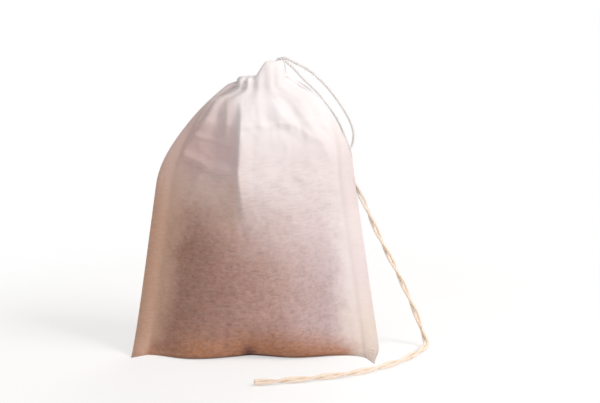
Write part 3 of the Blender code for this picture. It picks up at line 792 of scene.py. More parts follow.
def bag_mesh():
    """The paper as one closed solid: outer face, inner face, and the edges of the string's opening."""
    places, steps = columns(), rows()
    kinds = [kind for kind, _ in steps]
    sealed = kinds.index("sealed")
    high = UNDER_ROWS + FOOT_ROWS + BELLY_ROWS + NECK_ROWS + SEAL_ROWS
    low = high - 1
    outer = [[outer_point(row, place) for place in places] for row in steps[:sealed]]
    normals = face_normals(outer)
    build = bmesh.new()
    made = {}

    def vertex(key, point):
        if key not in made:
            made[key] = build.verts.new(point)
        return made[key]

    def outer_vertex(r, c):
        if r == sealed:
            return inner_vertex(low, c)
        side, share, part = places[c]
        key = ["outer", r, side, share, part]
        if r == 0:
            key[2] = 0
        if kinds[r] in ("hem", "flap") and part != "panel":
            key[2:] = [0, share, "seam"]
        return vertex(tuple(key), outer[r][c])

    def inner_vertex(r, c):
        if r == sealed:
            return inner_vertex(high, c)
        side, share, part = places[c]
        if part != "panel":
            point = outer[r][c].copy()
            if kinds[r] in ("under", "wall"):
                seam = wall_point(share, steps[r][1] if kinds[r] == "wall" else 0.0, side)
                point = Vector((seam.x + math.copysign(PAPER, 0.5 - share), seam.y, seam.z))
                if kinds[r] == "under":
                    point.z += PAPER
            else:
                point -= seam_outward(r, share) * PAPER
            return vertex(("inner", r, 0, share, "seam"), point)
        key = ("inner", r, 0 if r == 0 else side, share, part)
        return vertex(key, outer[r][c] - normals[r][c] * PAPER)

    def seam_outward(r, share):
        angle = math.radians(steps[r][1]) if kinds[r] == "hem" else math.pi
        level = math.copysign(math.cos(angle), share - 0.5) * abs(math.cos(angle))
        return Vector((level, 0, math.sin(angle)))

    def face(corners):
        unique = list(dict.fromkeys(corners))
        if len(unique) > 2:
            build.faces.new(unique)

    def rim(start, end):
        """Edge of the paper at the string's opening."""
        face([outer_vertex(*start), outer_vertex(*end), inner_vertex(*end), inner_vertex(*start)])

    def is_open(r, c):
        """Whether the cell above row r and right of column c is part of the string's opening."""
        if not 0 <= r < sealed or kinds[r] != "hem":
            return False
        here, there = places[c], places[(c + 1) % len(places)]
        if here[0] < 0 or there[0] < 0 or "panel" not in (here[2], there[2]):
            return False
        along = turn_of(mouth_across((here[1] + there[1]) / 2)) - PEAK_ANGLE
        up = steps[r][1] + TURN_STEP / 2 - 90
        return math.hypot(along / NOTCH_HALF_ANGLE, up / NOTCH_HALF_TURN) < 1

    count = len(places)
    for r in range(sealed):
        for c in range(count):
            n = (c + 1) % count
            if is_open(r, c):
                continue
            in_seam = "panel" not in (places[c][2], places[n][2])
            corners = ((r, c), (r, n), (r + 1, n), (r + 1, c))
            face([outer_vertex(*corner) for corner in corners])
            if r != low and not in_seam:
                face([inner_vertex(*corner) for corner in reversed(corners)])
            low_left, low_right, high_right, high_left = corners
            if is_open(r + 1, c):
                rim(high_left, high_right)
            if is_open(r - 1, c):
                rim(low_right, low_left)
            if is_open(r, n):
                rim(high_right, low_right)
            if is_open(r, (c - 1) % count):
                rim(low_left, high_left)
    return outward_mesh("paper_bag", build)


# The tea

def tea_hollow(x, z, side):
    """Depth of the hollows between the lumps of the heap, 0..1, in uneven rows."""
    u, v = x / TEA_LUMP_PITCH, z / TEA_LUMP_PITCH
    first = math.sin(2 * math.pi * (0.93 * u + 0.31 * v + 0.2 * math.sin(2.1 * v + side)))
    second = math.sin(2 * math.pi * (0.95 * v - 0.27 * u + 0.2 * math.sin(1.7 * u)))
    return 0.5 - 0.25 * (first + second)


def tea_point(turn, up, close):
    """Surface of the tea: turn round it, up from its bottom to its top, close from 1 down to 0."""
    across = math.cos(turn)
    side = -1 if math.sin(turn) < 0 else 1
    foot = SOLID_PAPER + CLEARANCE
    z = mix(foot, TEA_HEIGHT, up)
    x = (half_width(z) - TEA_MARGIN) * across * close
    share = (x / (half_width(z) - SEAM_WIDTH) + 1) / 2
    paper, paper_across = section(share, z, side)
    paper.y += side * fold_relief(paper.x, z, side) * smooth(0.0, FOLD_SEAM_FADE, 1 - abs(paper_across))
    offset = seam_offset(x, z)
    room = abs(paper.y - offset) - SOLID_PAPER - 2 * CLEARANCE - TEA_LUMP_DEPTH * tea_hollow(x, z, side)
    y = offset + side * max(0.0, room) * (1 - abs(across) ** TEA_END_POWER) ** 0.5 * close
    return Vector((x, y, z + TEA_SLOPE * x * up))


def tea_core_mesh():
    """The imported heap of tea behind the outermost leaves, with a rough surface."""
    build = bmesh.new()
    around = TEA_RING_POINTS
    levels = [(0.0, 0.6), (0.0, 0.95)]
    for k in range(TEA_SIDE_RINGS + 1):
        step = (k / TEA_SIDE_RINGS) ** TEA_SIDE_CROWDING
        levels.append((mix(TEA_SIDE_START, TEA_CROWN_START, step), 1.0))
    for k in range(1, TEA_CROWN_RINGS + 1):
        up = TEA_CROWN_START + TEA_CROWN_RISE * math.sin(math.pi / 2 * k / TEA_CROWN_RINGS)
        levels.append((up, math.cos(math.pi / 2 * k / TEA_CROWN_STEPS_TO_TIP)))
    rings = []
    for up, close in levels:
        ring = []
        for k in range(around):
            point = tea_point(2 * math.pi * (k + 0.5) / around, up, close * TEA_CORE_SHARE)
            rough = sum(noise.noise(point / size) * rise for size, rise in TEA_ROUGHNESS)
            rough -= TEA_ROUGHNESS_SINK
            outward = Vector((point.x / 3, point.y, 0)).normalized()
            ring.append(build.verts.new(point + outward * rough * MM))
        rings.append(ring)
    join_rings(build, rings)
    for ring, up in ((rings[0], 0.0), (rings[-1], 1.0)):
        tip = build.verts.new(tea_point(math.pi / 2, up, 0.0))
        for k in range(around):
            build.faces.new([ring[k], ring[(k + 1) % around], tip])
    return outward_mesh("tea_core", build)


def add_leaf(build, centre, outward, chance):
    """One curled bit of leaf, lying flat against the paper."""
    length = mix(*LEAF_LENGTH, chance.random() ** 1.8)
    width = length * mix(*LEAF_WIDTH_SHARE, chance.random())
    thickness = mix(*LEAF_HALF_THICKNESS, chance.random())
    curl = mix(-LEAF_CURL, LEAF_CURL, chance.random())
    spin = chance.uniform(0, math.pi)
    lean = Vector((chance.uniform(-1, 1), chance.uniform(-1, 1), chance.uniform(-1, 1))) * LEAF_LEAN
    up = (outward + lean).normalized()
    first = up.orthogonal().normalized()
    along = (first * math.cos(spin) + up.cross(first) * math.sin(spin)).normalized()
    aside = up.cross(along)
    grid = []
    for k in range(4):
        s = k / 3 * 2 - 1
        taper = 1 - LEAF_TAPER * abs(s) ** 1.5 * mix(0.6, 1.0, chance.random())
        row = []
        for j in (-1, 0, 1):
            jag = 1 + chance.uniform(-LEAF_JAG, LEAF_JAG)
            lift = -curl * LEAF_CURL_RISE * (s * s * length + j * j * width)
            spot = centre + along * s * length / 2 + aside * j * width / 2 * taper * jag + up * lift
            row.append((build.verts.new(spot + up * thickness), build.verts.new(spot - up * thickness)))
        grid.append(row)
    for k in range(3):
        for j in range(2):
            quad = (grid[k][j], grid[k][j + 1], grid[k + 1][j + 1], grid[k + 1][j])
            build.faces.new([v[0] for v in quad])
            build.faces.new([v[1] for v in reversed(quad)])
    rim = [(0, 0), (0, 1), (0, 2), (1, 2), (2, 2), (3, 2), (3, 1), (3, 0), (2, 0), (1, 0)]
    for (a, b), (c, d) in zip(rim, rim[1:] + rim[:1]):
        build.faces.new([grid[a][b][1], grid[a][b][0], grid[c][d][0], grid[c][d][1]][::-1])


def leaf_bits_mesh():
    """Loose bits of leaf all over the heap, thickest against the front and back panels."""
    chance = random.Random(7)
    build = bmesh.new()
    for _ in range(LEAF_BITS):
        turn = chance.uniform(0, 2 * math.pi)
        up = chance.uniform(0.0, 1.0)
        in_crown = up >= TEA_CROWN_START
        close = math.cos(math.pi / 2 * (up - TEA_CROWN_START) / LEAF_CROWN_SPAN) if in_crown else 1.0
        centre = tea_point(turn, up, close)
        ahead = tea_point(turn + 0.05, up, close)
        higher = tea_point(turn, min(1.0, up + 0.02), close if up < 0.78 else close * 0.96)
        outward = (ahead - centre).cross(higher - centre)
        if outward.length == 0:
            continue
        outward.normalize()
        if outward.dot(Vector((centre.x / 3, centre.y, 0.02 if in_crown else 0.0))) < 0:
            outward.negate()
        if centre.z < LOWEST_LEAF:
            continue
        add_leaf(build, centre + outward * chance.uniform(LEAF_SINK, LEAF_STAND_OFF) * MM, outward, chance)
    return outward_mesh("tea_leaf_bits", build, rounded=False)


# The drawstring

# Route of the two tails, as the middle of the pair. Down the side, a point is x and y in millimetres
# and its height as a share of the mouth's. On the table, it is x and y alone.
TAIL_DOWN = (
    (5.8, 1.9, 1.028), (5.8, 1.9, 1.038), (6.2, 1.8, 1.049), (7.2, 1.7, 1.057), (8.6, 1.5, 1.054),
    (10.2, 1.3, 1.041), (12.5, 1.0, 1.020), (15.6, 0.8, 0.986), (18.8, 1.2, 0.943), (21.5, 2.0, 0.897),
    (23.4, 2.7, 0.858), (24.9, 3.2, 0.820), (25.8, 3.3, 0.779), (26.0, 3.0, 0.743), (25.9, 2.7, 0.701),
    (26.2, 2.4, 0.662), (27.2, 1.8, 0.620), (28.5, 1.2, 0.583), (30.1, 0.9, 0.539), (32.4, 1.3, 0.470),
    (34.9, 2.0, 0.400), (37.6, 2.8, 0.330),
    (40.2, 3.6, 0.261), (42.6, 4.4, 0.192), (44.8, 5.1, 0.125), (46.4, 5.3, 0.069), (47.5, 4.3, 0.030),
)
TAIL_ON_TABLE = (
    (47.7, 1.9), (46.2, -1.9), (44.0, -6.1), (41.1, -10.5), (38.0, -14.2), (34.6, -17.5), (31.0, -20.4),
    (26.7, -23.1), (22.4, -25.1), (17.2, -27.2), (12.0, -28.8), (6.1, -30.3), (0.3, -31.4),
)


def tail_route():
    """Points of the pair's middle line, from the string's opening to its free ends."""
    down = [Vector((x * MM, y * MM, share * MOUTH_HEIGHT)) for x, y, share in TAIL_DOWN]
    height = STRING + CLEARANCE / 2 + TABLE_CLEARANCE
    return down + [Vector((x * MM, y * MM, height)) for x, y in TAIL_ON_TABLE]


def through(points, steps):
    """Points read at even spacing from a smooth curve through the given ones."""
    fine = []
    ends = [2 * points[0] - points[1], *points, 2 * points[-1] - points[-2]]
    for a, b, c, d in zip(ends, ends[1:], ends[2:], ends[3:]):
        for k in range(20):
            t = k / 20
            fine.append(0.5 * ((2 * b) + (c - a) * t + (2 * a - 5 * b + 4 * c - d) * t * t
                               + (3 * b - a - 3 * c + d) * t * t * t))
    fine.append(points[-1])
    lengths = [0.0]
    for a, b in zip(fine, fine[1:]):
        lengths.append(lengths[-1] + (b - a).length)
    even, at = [], 0
    for k in range(steps):
        wanted = lengths[-1] * k / (steps - 1)
        while at < len(fine) - 2 and lengths[at + 1] < wanted:
            at += 1
        t = (wanted - lengths[at]) / (lengths[at + 1] - lengths[at])
        even.append(fine[at].lerp(fine[at + 1], t))
    return even, lengths[-1]


def frames_along(line):
    """At each point of a line: its direction, a side square to that, and the one square to both."""
    last = len(line) - 1
    side = Vector((0, 1, 0))
    frames = []
    for k in range(last + 1):
        along = (line[min(k + 1, last)] - line[max(k - 1, 0)]).normalized()
        side = side - along * side.dot(along)
        if side.length < 1e-6:
            side = along.orthogonal()
        side = side.normalized()
        frames.append((along, side, along.cross(side)))
    return frames


def tail_points(sign):
    """Middle line of one tail: spread over the shoulder, then twisted with the other one."""
    pair, length = through(tail_route(), TAIL_POINTS)
    touching = (STRING + TAILS_APART) / 2
    line = []
    for k, (point, (_, level, outward)) in enumerate(zip(pair, frames_along(pair))):
        run = length * k / (TAIL_POINTS - 1)
        joined = smooth(SPREAD_END - SPREAD_EASE, SPREAD_END, run)
        spread = smooth(SPREAD_START, SPREAD_START + SPREAD_EASE, run) * (1 - joined)
        half = mix(touching, SPREAD_AT_SHOULDER, spread)
        angle = mix(SPREAD_LEAN, math.pi / 2, joined)
        angle += 2 * math.pi * max(0.0, run - TWIST_START) / TWIST_LENGTH
        line.append(point - (outward * math.cos(angle) + level * math.sin(angle)) * half * sign)
    return line


def held_points():
    """Middle line of the string in the hem, both ends rising side by side to the opening."""
    line = []
    for k in range(STRING_POINTS_IN_HEM):
        turn = math.radians(PEAK_ANGLE + mix(EXIT_TURN, 360 - EXIT_TURN, k / (STRING_POINTS_IN_HEM - 1)))
        line.append(loop_point(math.cos(turn), 1 if math.sin(turn) > 0 else -1))
    left, right = tail_points(-1), tail_points(1)
    first = left[0] - (left[1] - left[0]).normalized() * CLEARANCE
    last = right[0] - (right[1] - right[0]).normalized() * CLEARANCE
    straight = Vector((0, 0, STRING / 2))
    return through([first, first - straight, *line, last - straight, last], STRING_POINTS_IN_HEM)[0]


def add_tube(build, line, radius_at, sides):
    """A round tube along a fine line, closed at both ends, thick as radius_at says at each point."""
    rings = []
    for k, (point, (_, side, other)) in enumerate(zip(line, frames_along(line))):
        ring = []
        for s in range(sides):
            angle = 2 * math.pi * s / sides
            out = side * math.cos(angle) + other * math.sin(angle)
            ring.append(build.verts.new(point + out * radius_at(k)))
        rings.append(ring)
    join_rings(build, rings)
    build.faces.new(rings[0][::-1])
    build.faces.new(rings[-1])


def string_mesh(name, points, seed):
    """Cotton string laid from plies, with loose fibres standing off it."""
    chance = random.Random(seed)
    length = sum((b - a).length for a, b in zip(points, points[1:]))
    steps = max(24, int(length / PLY_LAY * PLY_STEPS_A_TURN))
    line, length = through(points, steps)
    lay_radius = STRING / 2 - PLY_RADIUS
    build = bmesh.new()
    frames = frames_along(line)
    for ply in range(PLIES):
        strand = []
        for k, (point, (_, side, other)) in enumerate(zip(line, frames)):
            run = length * k / (steps - 1)
            angle = 2 * math.pi * (run / PLY_LAY + ply / PLIES)
            loose = 1 + PLY_LOOSENESS * noise.noise(Vector((run / (3 * MM), ply, seed)))
            strand.append(point + (side * math.cos(angle) + other * math.sin(angle)) * lay_radius * loose)

        def radius_at(k, ply=ply):
            uneven = noise.noise(Vector((k * 0.31, ply * 5.0, seed + 0.5)))
            return PLY_RADIUS * (1 + PLY_UNEVENNESS * uneven)

        add_tube(build, strand, radius_at, PLY_SIDES)
    for _ in range(int(length / MM * HAIRS_A_MM)):
        k = chance.randrange(2, steps - 2)
        point = line[k]
        along, side, other = frames[k]
        angle = chance.uniform(0, 2 * math.pi)
        out = side * math.cos(angle) + other * math.sin(angle)
        reach = mix(*HAIR_REACH, chance.random() ** 2)
        slide = along * chance.uniform(-HAIR_SLIDE, HAIR_SLIDE)
        start = point + out * STRING * 0.42
        bend = start + out * reach * 0.7 + slide * 0.4
        tip = start + out * reach * 0.8 + slide
        if min(start.z, bend.z, tip.z) < 0.02 * MM:
            continue
        hair, _ = through([start, bend, tip], 6)
        add_tube(build, hair, lambda k: HAIR_RADIUS, 3)
    return outward_mesh(name, build), length


# Materials

class Look:
    """A material being made: each method adds one node or more and returns an output."""

    def __init__(self, name):
        self.material = bpy.data.materials.new(name)
        self.material.use_nodes = True
        self.tree = self.material.node_tree
        self.tree.nodes.clear()
        self.output = self.tree.nodes.new("ShaderNodeOutputMaterial")
        self.place = self.add("ShaderNodeTexCoord", {}, "Object")

    def put(self, socket, value):
        if isinstance(value, bpy.types.NodeSocket):
            self.tree.links.new(value, socket)
        else:
            socket.default_value = value

    def add(self, kind, inputs, output=0, **settings):
        node = self.tree.nodes.new(kind)
        for key, value in settings.items():
            setattr(node, key, value)
        for key, value in inputs.items():
            self.put(node.inputs[key], value)
        return node.outputs[output]

    def stretched(self, x, y, z):
        return self.add("ShaderNodeVectorMath", {0: self.place, 1: (x, y, z)}, operation="MULTIPLY")

    def noise(self, where, scale=1.0, detail=3.0, roughness=0.5, distortion=0.0):
        inputs = {"Vector": where, "Scale": scale, "Detail": detail, "Roughness": roughness}
        return self.add("ShaderNodeTexNoise", {**inputs, "Distortion": distortion}, "Fac")

    def cells(self, where):
        inputs = {"Vector": where, "Scale": 1.0}
        return self.add("ShaderNodeTexVoronoi", inputs, "Distance", feature="DISTANCE_TO_EDGE")

    def math(self, operation, a, b=0.0):
        return self.add("ShaderNodeMath", {0: a, 1: b}, operation=operation)

    def times(self, value, *others):
        for other in others:
            value = self.math("MULTIPLY", value, other)
        return value

    def plus(self, value, *others):
        for other in others:
            value = self.math("ADD", value, other)
        return value

    def minus(self, a, b):
        return self.math("SUBTRACT", a, b)

    def span(self, value, low, high, to_low=0.0, to_high=1.0):
        """Value eased from low..high to to_low..to_high, and held beyond them."""
        inputs = {"Value": value, "From Min": low, "From Max": high, "To Min": to_low, "To Max": to_high}
        return self.add("ShaderNodeMapRange", inputs, "Result", interpolation_type="SMOOTHSTEP")

    def blend(self, factor, a, b, kind="MIX"):
        a, b = (v if isinstance(v, bpy.types.NodeSocket) else (*v, 1.0) for v in (a, b))
        inputs = {"Factor": factor, 6: a, 7: b}
        return self.add("ShaderNodeMix", inputs, 2, data_type="RGBA", blend_type=kind)

    def axis(self, name):
        return self.add("ShaderNodeSeparateXYZ", {0: self.place}, name)

    def bump(self, height, strength, distance):
        inputs = {"Height": height, "Strength": strength, "Distance": distance}
        return self.add("ShaderNodeBump", inputs, "Normal")

    def principled(self, colour, roughness, normal, **constants):
        inputs = {"Base Color": colour, "Roughness": roughness, "Normal": normal}
        inputs.update((key.replace("_", " "), value) for key, value in constants.items())
        return self.add("ShaderNodeBsdfPrincipled", inputs, "BSDF")

    def mixed(self, share, a, b):
        return self.add("ShaderNodeMixShader", {0: share, 1: a, 2: b})

    def finish(self, shader):
        self.put(self.output.inputs["Surface"], shader)
        return self.material


# Colours of the paper, some as a pair that it runs between; some of them painted shade, shadow and light, as named
CLOUDY_WHITE = ((0.90, 0.82, 0.82), (0.93, 0.86, 0.86))
PAINTED_TABLE_BOUNCE = (0.90, 0.80, 0.71)
PAINTED_SHADE_TAN = ((0.76, 0.50, 0.37), (0.90, 0.73, 0.67))
TOP_PAINTED_LIGHT = (0.99, 0.955, 0.955)
FACET_SHADE = (0.92, 0.84, 0.86)
SEAL_SHADE = (0.98, 0.965, 0.955)
LEFT_STAIN = ((0.645, 0.355, 0.275), (0.755, 0.48, 0.42))
RIGHT_STAIN = (0.79, 0.635, 0.65)
FOOT_PAINTED_SHADE = ((0.82, 0.41, 0.23), (0.68, 0.33, 0.18))
LEAF_BROWN = (0.30, 0.13, 0.10)
SPECK_BROWN = (0.26, 0.11, 0.09)
BLOT_RED = (0.46, 0.20, 0.17)
CLOUD_OLIVE = (0.30, 0.20, 0.10)
DIMPLE_PAINTED_SHADE = (0.34, 0.13, 0.09)
RIPPLE_PINK = (0.56, 0.42, 0.40)
FIBRE_WHITE = (0.99, 0.95, 0.94)
HAIR_WHITE = (0.99, 0.96, 0.95)
CONTACT_PAINTED_SHADOW = (0.16, 0.08, 0.06)
TRANSLUCENCY = 0.32


def paper_fields(look):
    """What the paper's colour and relief are made from: places and noises, by name."""
    x, z = look.axis("X"), look.axis("Z")
    blots = look.noise(look.place, scale=190, detail=4, roughness=0.6)
    return SimpleNamespace(
        x=x,
        z=z,
        across=look.math("ABSOLUTE", x),
        fibres=look.noise(look.stretched(560, 560, 2500), detail=5, roughness=0.62, distortion=0.5),
        hairs=look.span(look.cells(look.stretched(700, 700, 1500)), 0.0, 0.09, 1.0, 0.0),
        cloud=look.noise(look.place, scale=70, detail=3),
        blots=blots,
        ragged=look.minus(blots, 0.5),
        leaves=look.noise(look.stretched(620, 620, 1100), detail=6, roughness=0.7),
        specks=look.noise(look.place, scale=900, detail=2),
        ripples=look.noise(look.stretched(330, 330, 1500), detail=4, roughness=0.6, distortion=0.3),
    )


def tea_behind(look, at):
    """Where tea shows through the paper, 0..1, with ragged edges that lean in like the bag's sides."""
    raised = look.plus(at.z, look.times(at.ragged, 14 * MM))
    depth = look.minus(look.span(at.x, -10 * MM, 20 * MM, 52 * MM, 58 * MM), raised)
    softness = look.span(at.x, -20 * MM, 20 * MM, 22 * MM, 46 * MM)
    tea = look.span(look.math("DIVIDE", depth, softness), 0.0, 1.0)
    foot = look.span(at.z, 1.5 * MM, 6 * MM, 3 * MM, 0.0)
    spread = look.minus(look.times(at.ragged, 8 * MM), foot)
    left = look.minus(look.plus(look.times(at.z, 0.2), spread), at.x)
    right = look.plus(look.times(at.z, 0.08), spread, at.x)
    in_left = look.span(left, 23.5 * MM, 31 * MM, 1.0, 0.0)
    return look.times(tea, in_left, look.span(right, 20 * MM, 28.5 * MM, 1.0, 0.0))


def dry_paper(look, at):
    """Colour where no tea shows: pinkish white, with painted shade in tan on the left and the shaded facet beside the
    ridge, painted bounce light low down, painted light at the top and painted shade on the seams.
    """
    bright = look.blend(look.span(at.cloud, 0.35, 0.65), *CLOUDY_WHITE)
    # Painted bounce light: the paper creamier towards the bottom, as if lit from the table.
    bright = look.blend(look.span(at.z, 4 * MM, 24 * MM, 0.7, 0.0), bright, PAINTED_TABLE_BOUNCE)
    # Painted shade: tan, darker lower down, on the left side and on the facet left of the ridge, where the paper turns
    # from the light.
    tan = look.blend(look.span(at.z, 34 * MM, 64 * MM), *PAINTED_SHADE_TAN)
    left_of_ridge = look.span(at.x, -6 * MM, -3 * MM, 0.62, 0.0)
    facet = look.times(left_of_ridge, look.span(at.z, 48 * MM, 60 * MM, 1.0, 0.0))
    painted_shade_share = look.math("MAXIMUM", look.span(at.x, -26 * MM, 4 * MM, 1.0, 0.0), facet)
    paper = look.blend(painted_shade_share, bright, tan)
    # Painted light: the paper whiter towards the top, from higher up left of the ridge, where light shines through the
    # thin paper.
    height = look.minus(at.z, look.span(at.x, -6 * MM, -3 * MM, 12 * MM, 0.0))
    paper = look.blend(look.span(height, 51 * MM, 69 * MM), paper, TOP_PAINTED_LIGHT)
    shade = look.times(
        look.span(at.x, -6 * MM, -3.5 * MM, 1.0, 0.0),
        look.span(at.x, -25 * MM, -15 * MM),
        look.span(at.z, 45 * MM, 56 * MM),
        look.span(at.z, 58 * MM, 70 * MM, 1.0, 0.3),
    )
    paper = look.blend(shade, paper, FACET_SHADE, "MULTIPLY")
    # Painted shade: the seam strips a little darker.
    sealed = look.plus(at.across, look.times(at.z, 0.149))
    return look.blend(look.span(sealed, 29.6 * MM, 30.8 * MM), paper, SEAL_SHADE, "MULTIPLY")


def paper_over_tea(look, at):
    """Colour over tea: red-brown on the left, mauve on the right, and at the foot an orange arch of painted shade and
    painted bounce light.
    """
    over_tea = look.blend(look.span(at.x, -22 * MM, 4 * MM), *LEFT_STAIN)
    over_tea = look.blend(look.span(at.x, 0.0, 22 * MM), over_tea, RIGHT_STAIN)
    # Painted shade and painted bounce light: an orange arch at the foot, where the bag curves under towards the table.
    arch = look.plus(at.z, look.times(at.x, at.x, 7.5), look.times(at.ragged, 6 * MM))
    orange = look.blend(look.span(at.x, -20 * MM, 10 * MM), *FOOT_PAINTED_SHADE)
    over_tea = look.blend(look.span(arch, 3.5 * MM, 12.5 * MM, 1.0, 0.0), over_tea, orange)
    over_tea = look.blend(look.span(at.leaves, 0.46, 0.66, 0.0, 0.13), over_tea, LEAF_BROWN)
    over_tea = look.blend(look.span(at.specks, 0.56, 0.70, 0.0, 0.22), over_tea, SPECK_BROWN)
    over_tea = look.blend(look.span(at.blots, 0.50, 0.68, 0.0, 0.22), over_tea, BLOT_RED)
    return look.blend(look.span(at.cloud, 0.35, 0.65, 0.10, 0.0), over_tea, CLOUD_OLIVE)


def marked(look, at, colour):
    """The paper's colour with painted shade in its dimple, its ripples and pale fibres, and a painted shadow along its
    underside.
    """
    # Painted shade in the dimple at the foot, just left of the middle.
    beside = look.math("ABSOLUTE", look.plus(at.x, 1.8 * MM))
    beside = look.plus(beside, look.times(at.z, 0.35), look.times(at.ragged, 4 * MM))
    dimple = look.span(beside, 0.4 * MM, 3.6 * MM, 0.85, 0.0)
    dimple = look.times(dimple, look.span(at.z, 2 * MM, 6.5 * MM, 1.0, 0.0))
    colour = look.blend(dimple, colour, DIMPLE_PAINTED_SHADE)
    rippled = look.times(
        look.span(at.z, 46 * MM, 60 * MM, 1.0, 0.15),
        look.span(at.across, 17 * MM, 26 * MM, 1.0, 0.2),
        look.span(at.ripples, 0.46, 0.64, 0.0, 0.20),
    )
    colour = look.blend(rippled, colour, RIPPLE_PINK)
    colour = look.blend(look.span(at.fibres, 0.44, 0.60, 0.0, 0.12), colour, FIBRE_WHITE)
    colour = look.blend(look.times(at.hairs, 0.07), colour, HAIR_WHITE)
    # Painted shadow along the bottom, where the paper meets the table, weaker towards the corners.
    under = look.span(at.z, 0.3 * MM, 1.6 * MM, 0.55, 0.0)
    under = look.times(under, look.span(at.across, 18 * MM, 28 * MM, 1.0, 0.2))
    return look.blend(under, colour, CONTACT_PAINTED_SHADOW)


def paper_look():
    """Thin nonwoven filter paper: fine fibres, stained and see-through where tea lies behind it, with painted light,
    shade and shadow.
    """
    look = Look("filter_paper")
    at = paper_fields(look)
    tea = tea_behind(look, at)
    colour = marked(look, at, look.blend(tea, dry_paper(look, at), paper_over_tea(look, at)))
    relief = look.plus(look.times(at.fibres, 0.7), look.times(at.hairs, 0.4))
    normal = look.bump(relief, 0.35, 0.05 * MM)
    roughness = look.span(at.fibres, 0.3, 0.7, 0.68, 0.86)
    front = look.principled(colour, roughness, normal, Specular_IOR_Level=0.25)
    lit_through = look.add("ShaderNodeBsdfTranslucent", {"Color": colour, "Normal": normal})
    paper = look.mixed(TRANSLUCENCY, front, lit_through)
    clear = look.add("ShaderNodeBsdfTransparent", {})
    # Painted shade: more see-through on the left than on the right, so the paper in shade shows more dark tea.
    clearness = look.times(
        tea,
        look.span(at.x, -22 * MM, 22 * MM, 0.34, 0.18),
        look.span(at.leaves, 0.40, 0.64, 0.85, 1.2),
    )
    return look.finish(look.mixed(clearness, paper, clear))


DARK_TEA = (0.060, 0.024, 0.014)
RED_TEA = (0.22, 0.095, 0.045)
PALE_TEA = (0.32, 0.17, 0.08)


def tea_look():
    """Dry tea: dark brown leaf with redder and paler bits."""
    look = Look("dried_tea")
    patch = look.noise(look.place, scale=420, detail=4)
    grain = look.noise(look.stretched(2600, 2600, 900), detail=3)
    colour = look.blend(look.span(patch, 0.40, 0.62), DARK_TEA, RED_TEA)
    colour = look.blend(look.times(look.span(grain, 0.5, 0.75), 0.5), colour, PALE_TEA)
    normal = look.bump(grain, 0.6, 0.12 * MM)
    return look.finish(look.principled(colour, look.span(patch, 0.3, 0.7, 0.6, 0.9), normal))


LOW_COTTON = (0.91, 0.76, 0.63)
HIGH_COTTON_PAINTED_LIGHT = (0.79, 0.76, 0.755)
COTTON_FLECK = (0.60, 0.40, 0.29)
COTTON_FIBRE = (0.97, 0.92, 0.86)


def cotton_look():
    """Undyed cotton: cream, turned cooler and greyer high up by painted light, with short lengthwise fibres and darker
    flecks.
    """
    look = Look("cotton_string")
    z = look.axis("Z")

    def upwards(low, high):
        return look.span(z, 30 * MM, 60 * MM, low, high)

    fleck = look.noise(look.place, scale=260, detail=3)
    fibre = look.noise(look.stretched(9000, 9000, 3000), detail=3, roughness=0.7)
    # Painted light: cream low down, cooler and greyer higher up.
    colour = look.blend(upwards(0.0, 1.0), LOW_COTTON, HIGH_COTTON_PAINTED_LIGHT)
    colour = look.blend(look.times(look.span(fleck, 0.54, 0.70), upwards(0.6, 0.25)), colour, COTTON_FLECK)
    colour = look.blend(look.times(look.span(fibre, 0.5, 0.7), upwards(0.35, 0.20)), colour, COTTON_FIBRE)
    normal = look.bump(fibre, 0.5, 0.05 * MM)
    roughness = look.span(fibre, 0.3, 0.7, 0.75, 0.95)
    return look.finish(look.principled(colour, roughness, normal, Sheen_Weight=0.25))


# Stage

WHITE = (1.0, 1.0, 1.0, 1.0)
FLOOR_SIZE = 6.0
FLOOR_COLOURS = ((0.93, 0.92, 0.91), (0.95, 0.94, 0.93))
WORLD_COLOUR = (1.0, 0.985, 0.975, 1.0)
WORLD_STRENGTH = 0.32
LAMPS_AIM = Vector((0.0, 0.0, 40 * MM))
# Lamps: name, place, size, power in watts, colour
LAMPS = (
    ("key", (0.46, -0.26, 0.42), 0.26, 2.90, (1.0, 0.975, 0.96)),
    ("fill", (-0.50, -0.50, 0.25), 0.50, 0.4, (1.0, 0.93, 0.87)),
    ("top", (-0.02, -0.22, 0.62), 0.35, 0.9, (1.0, 0.985, 0.975)),
    ("back", (0.20, 0.50, 0.50), 0.40, 1.4, (1.0, 0.99, 0.98)),
)


def add_floor():
    """Plain pale floor, which keeps the bag's shadow and runs out to white."""
    bpy.ops.mesh.primitive_grid_add(size=FLOOR_SIZE, x_subdivisions=8, y_subdivisions=8, location=(0, 0, 0))
    floor = bpy.context.object
    floor.name = "floor"
    look = Look("floor")
    grain = look.noise(look.place, scale=40, detail=2)
    colour = look.blend(look.span(grain, 0.3, 0.7), *FLOOR_COLOURS)
    matte = look.add("ShaderNodeBsdfDiffuse", {"Color": colour})
    white = look.add("ShaderNodeEmission", {"Color": WHITE, "Strength": 1.0})
    distance = look.add("ShaderNodeVectorMath", {0: look.place}, "Value", operation="LENGTH")
    seen = look.add("ShaderNodeLightPath", {}, "Is Camera Ray")
    share = look.times(seen, look.span(distance, 50 * MM, 160 * MM, 0.55, 1.0))
    floor.data.materials.append(look.finish(look.mixed(share, matte, white)))
    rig.stage(floor)


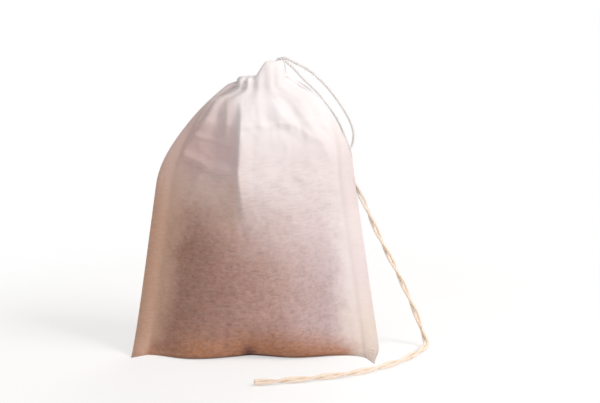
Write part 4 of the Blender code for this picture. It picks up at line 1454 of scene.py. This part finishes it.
def add_world():
    """Even pale light from all round, and white behind the object."""
    world = bpy.data.worlds.new("studio")
    bpy.context.scene.world = world
    world.use_nodes = True
    tree = world.node_tree
    tree.nodes.clear()
    lit = tree.nodes.new("ShaderNodeBackground")
    lit.inputs["Color"].default_value = WORLD_COLOUR
    lit.inputs["Strength"].default_value = WORLD_STRENGTH
    seen = tree.nodes.new("ShaderNodeBackground")
    seen.inputs["Color"].default_value = WHITE
    path = tree.nodes.new("ShaderNodeLightPath")
    both = tree.nodes.new("ShaderNodeMixShader")
    tree.links.new(path.outputs["Is Camera Ray"], both.inputs[0])
    tree.links.new(lit.outputs[0], both.inputs[1])
    tree.links.new(seen.outputs[0], both.inputs[2])
    output = tree.nodes.new("ShaderNodeOutputWorld")
    tree.links.new(both.outputs[0], output.inputs[0])


def add_lamps():
    for name, place, size, power, colour in LAMPS:
        data = bpy.data.lights.new(name, "AREA")
        data.size = size
        data.energy = power
        data.color = colour
        lamp = bpy.data.objects.new(name, data)
        lamp.location = place
        lamp.rotation_euler = (LAMPS_AIM - Vector(place)).to_track_quat("-Z", "Y").to_euler()
        bpy.context.scene.collection.objects.link(lamp)


def add_strings(cotton):
    """The two tails and the length held in the hem."""
    for side, sign, seed in (("left", -1, 11), ("right", 1, 23)):
        points = tail_points(sign)
        name = "string_tail_" + side
        mesh, length = string_mesh(name, points, seed)
        tail = add_piece(name, mesh, cotton, "cotton_string", "drawstring_tail_" + side)
        path, _ = through(points, PATH_POINTS)
        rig.cord(tail, exit=points[0], length=length, diameter=STRING, far_end="bare", stiffness="limp",
                lay="loose", path=path)
    mesh, _ = string_mesh("string_in_hem", held_points(), 37)
    add_piece("string_in_hem", mesh, cotton, "cotton_string", "drawstring_in_hem")


def main():
    add_camera()
    add_strings(cotton_look())
    paper_bag = add_piece("paper_bag", bag_mesh(), paper_look(), "filter_paper", "filter_bag")
    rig.sheet(paper_bag, flat=(BAG_WIDTH, SHEET_LENGTH), held="gathered")
    tea = tea_look()
    add_piece("tea_core", tea_core_mesh(), tea, "dried_tea", "tea_leaves")
    add_piece("tea_leaf_bits", leaf_bits_mesh(), tea, "dried_tea", "tea_leaves")
    add_floor()
    add_world()
    add_lamps()
    bpy.context.scene.view_settings.view_transform = "Standard"
    sizes = {"cad": [list(c) for c in cad_box], "visual": [list(c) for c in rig.bounds()]}
    with open("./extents.json", "w") as out:
        json.dump(sizes, out)


main()
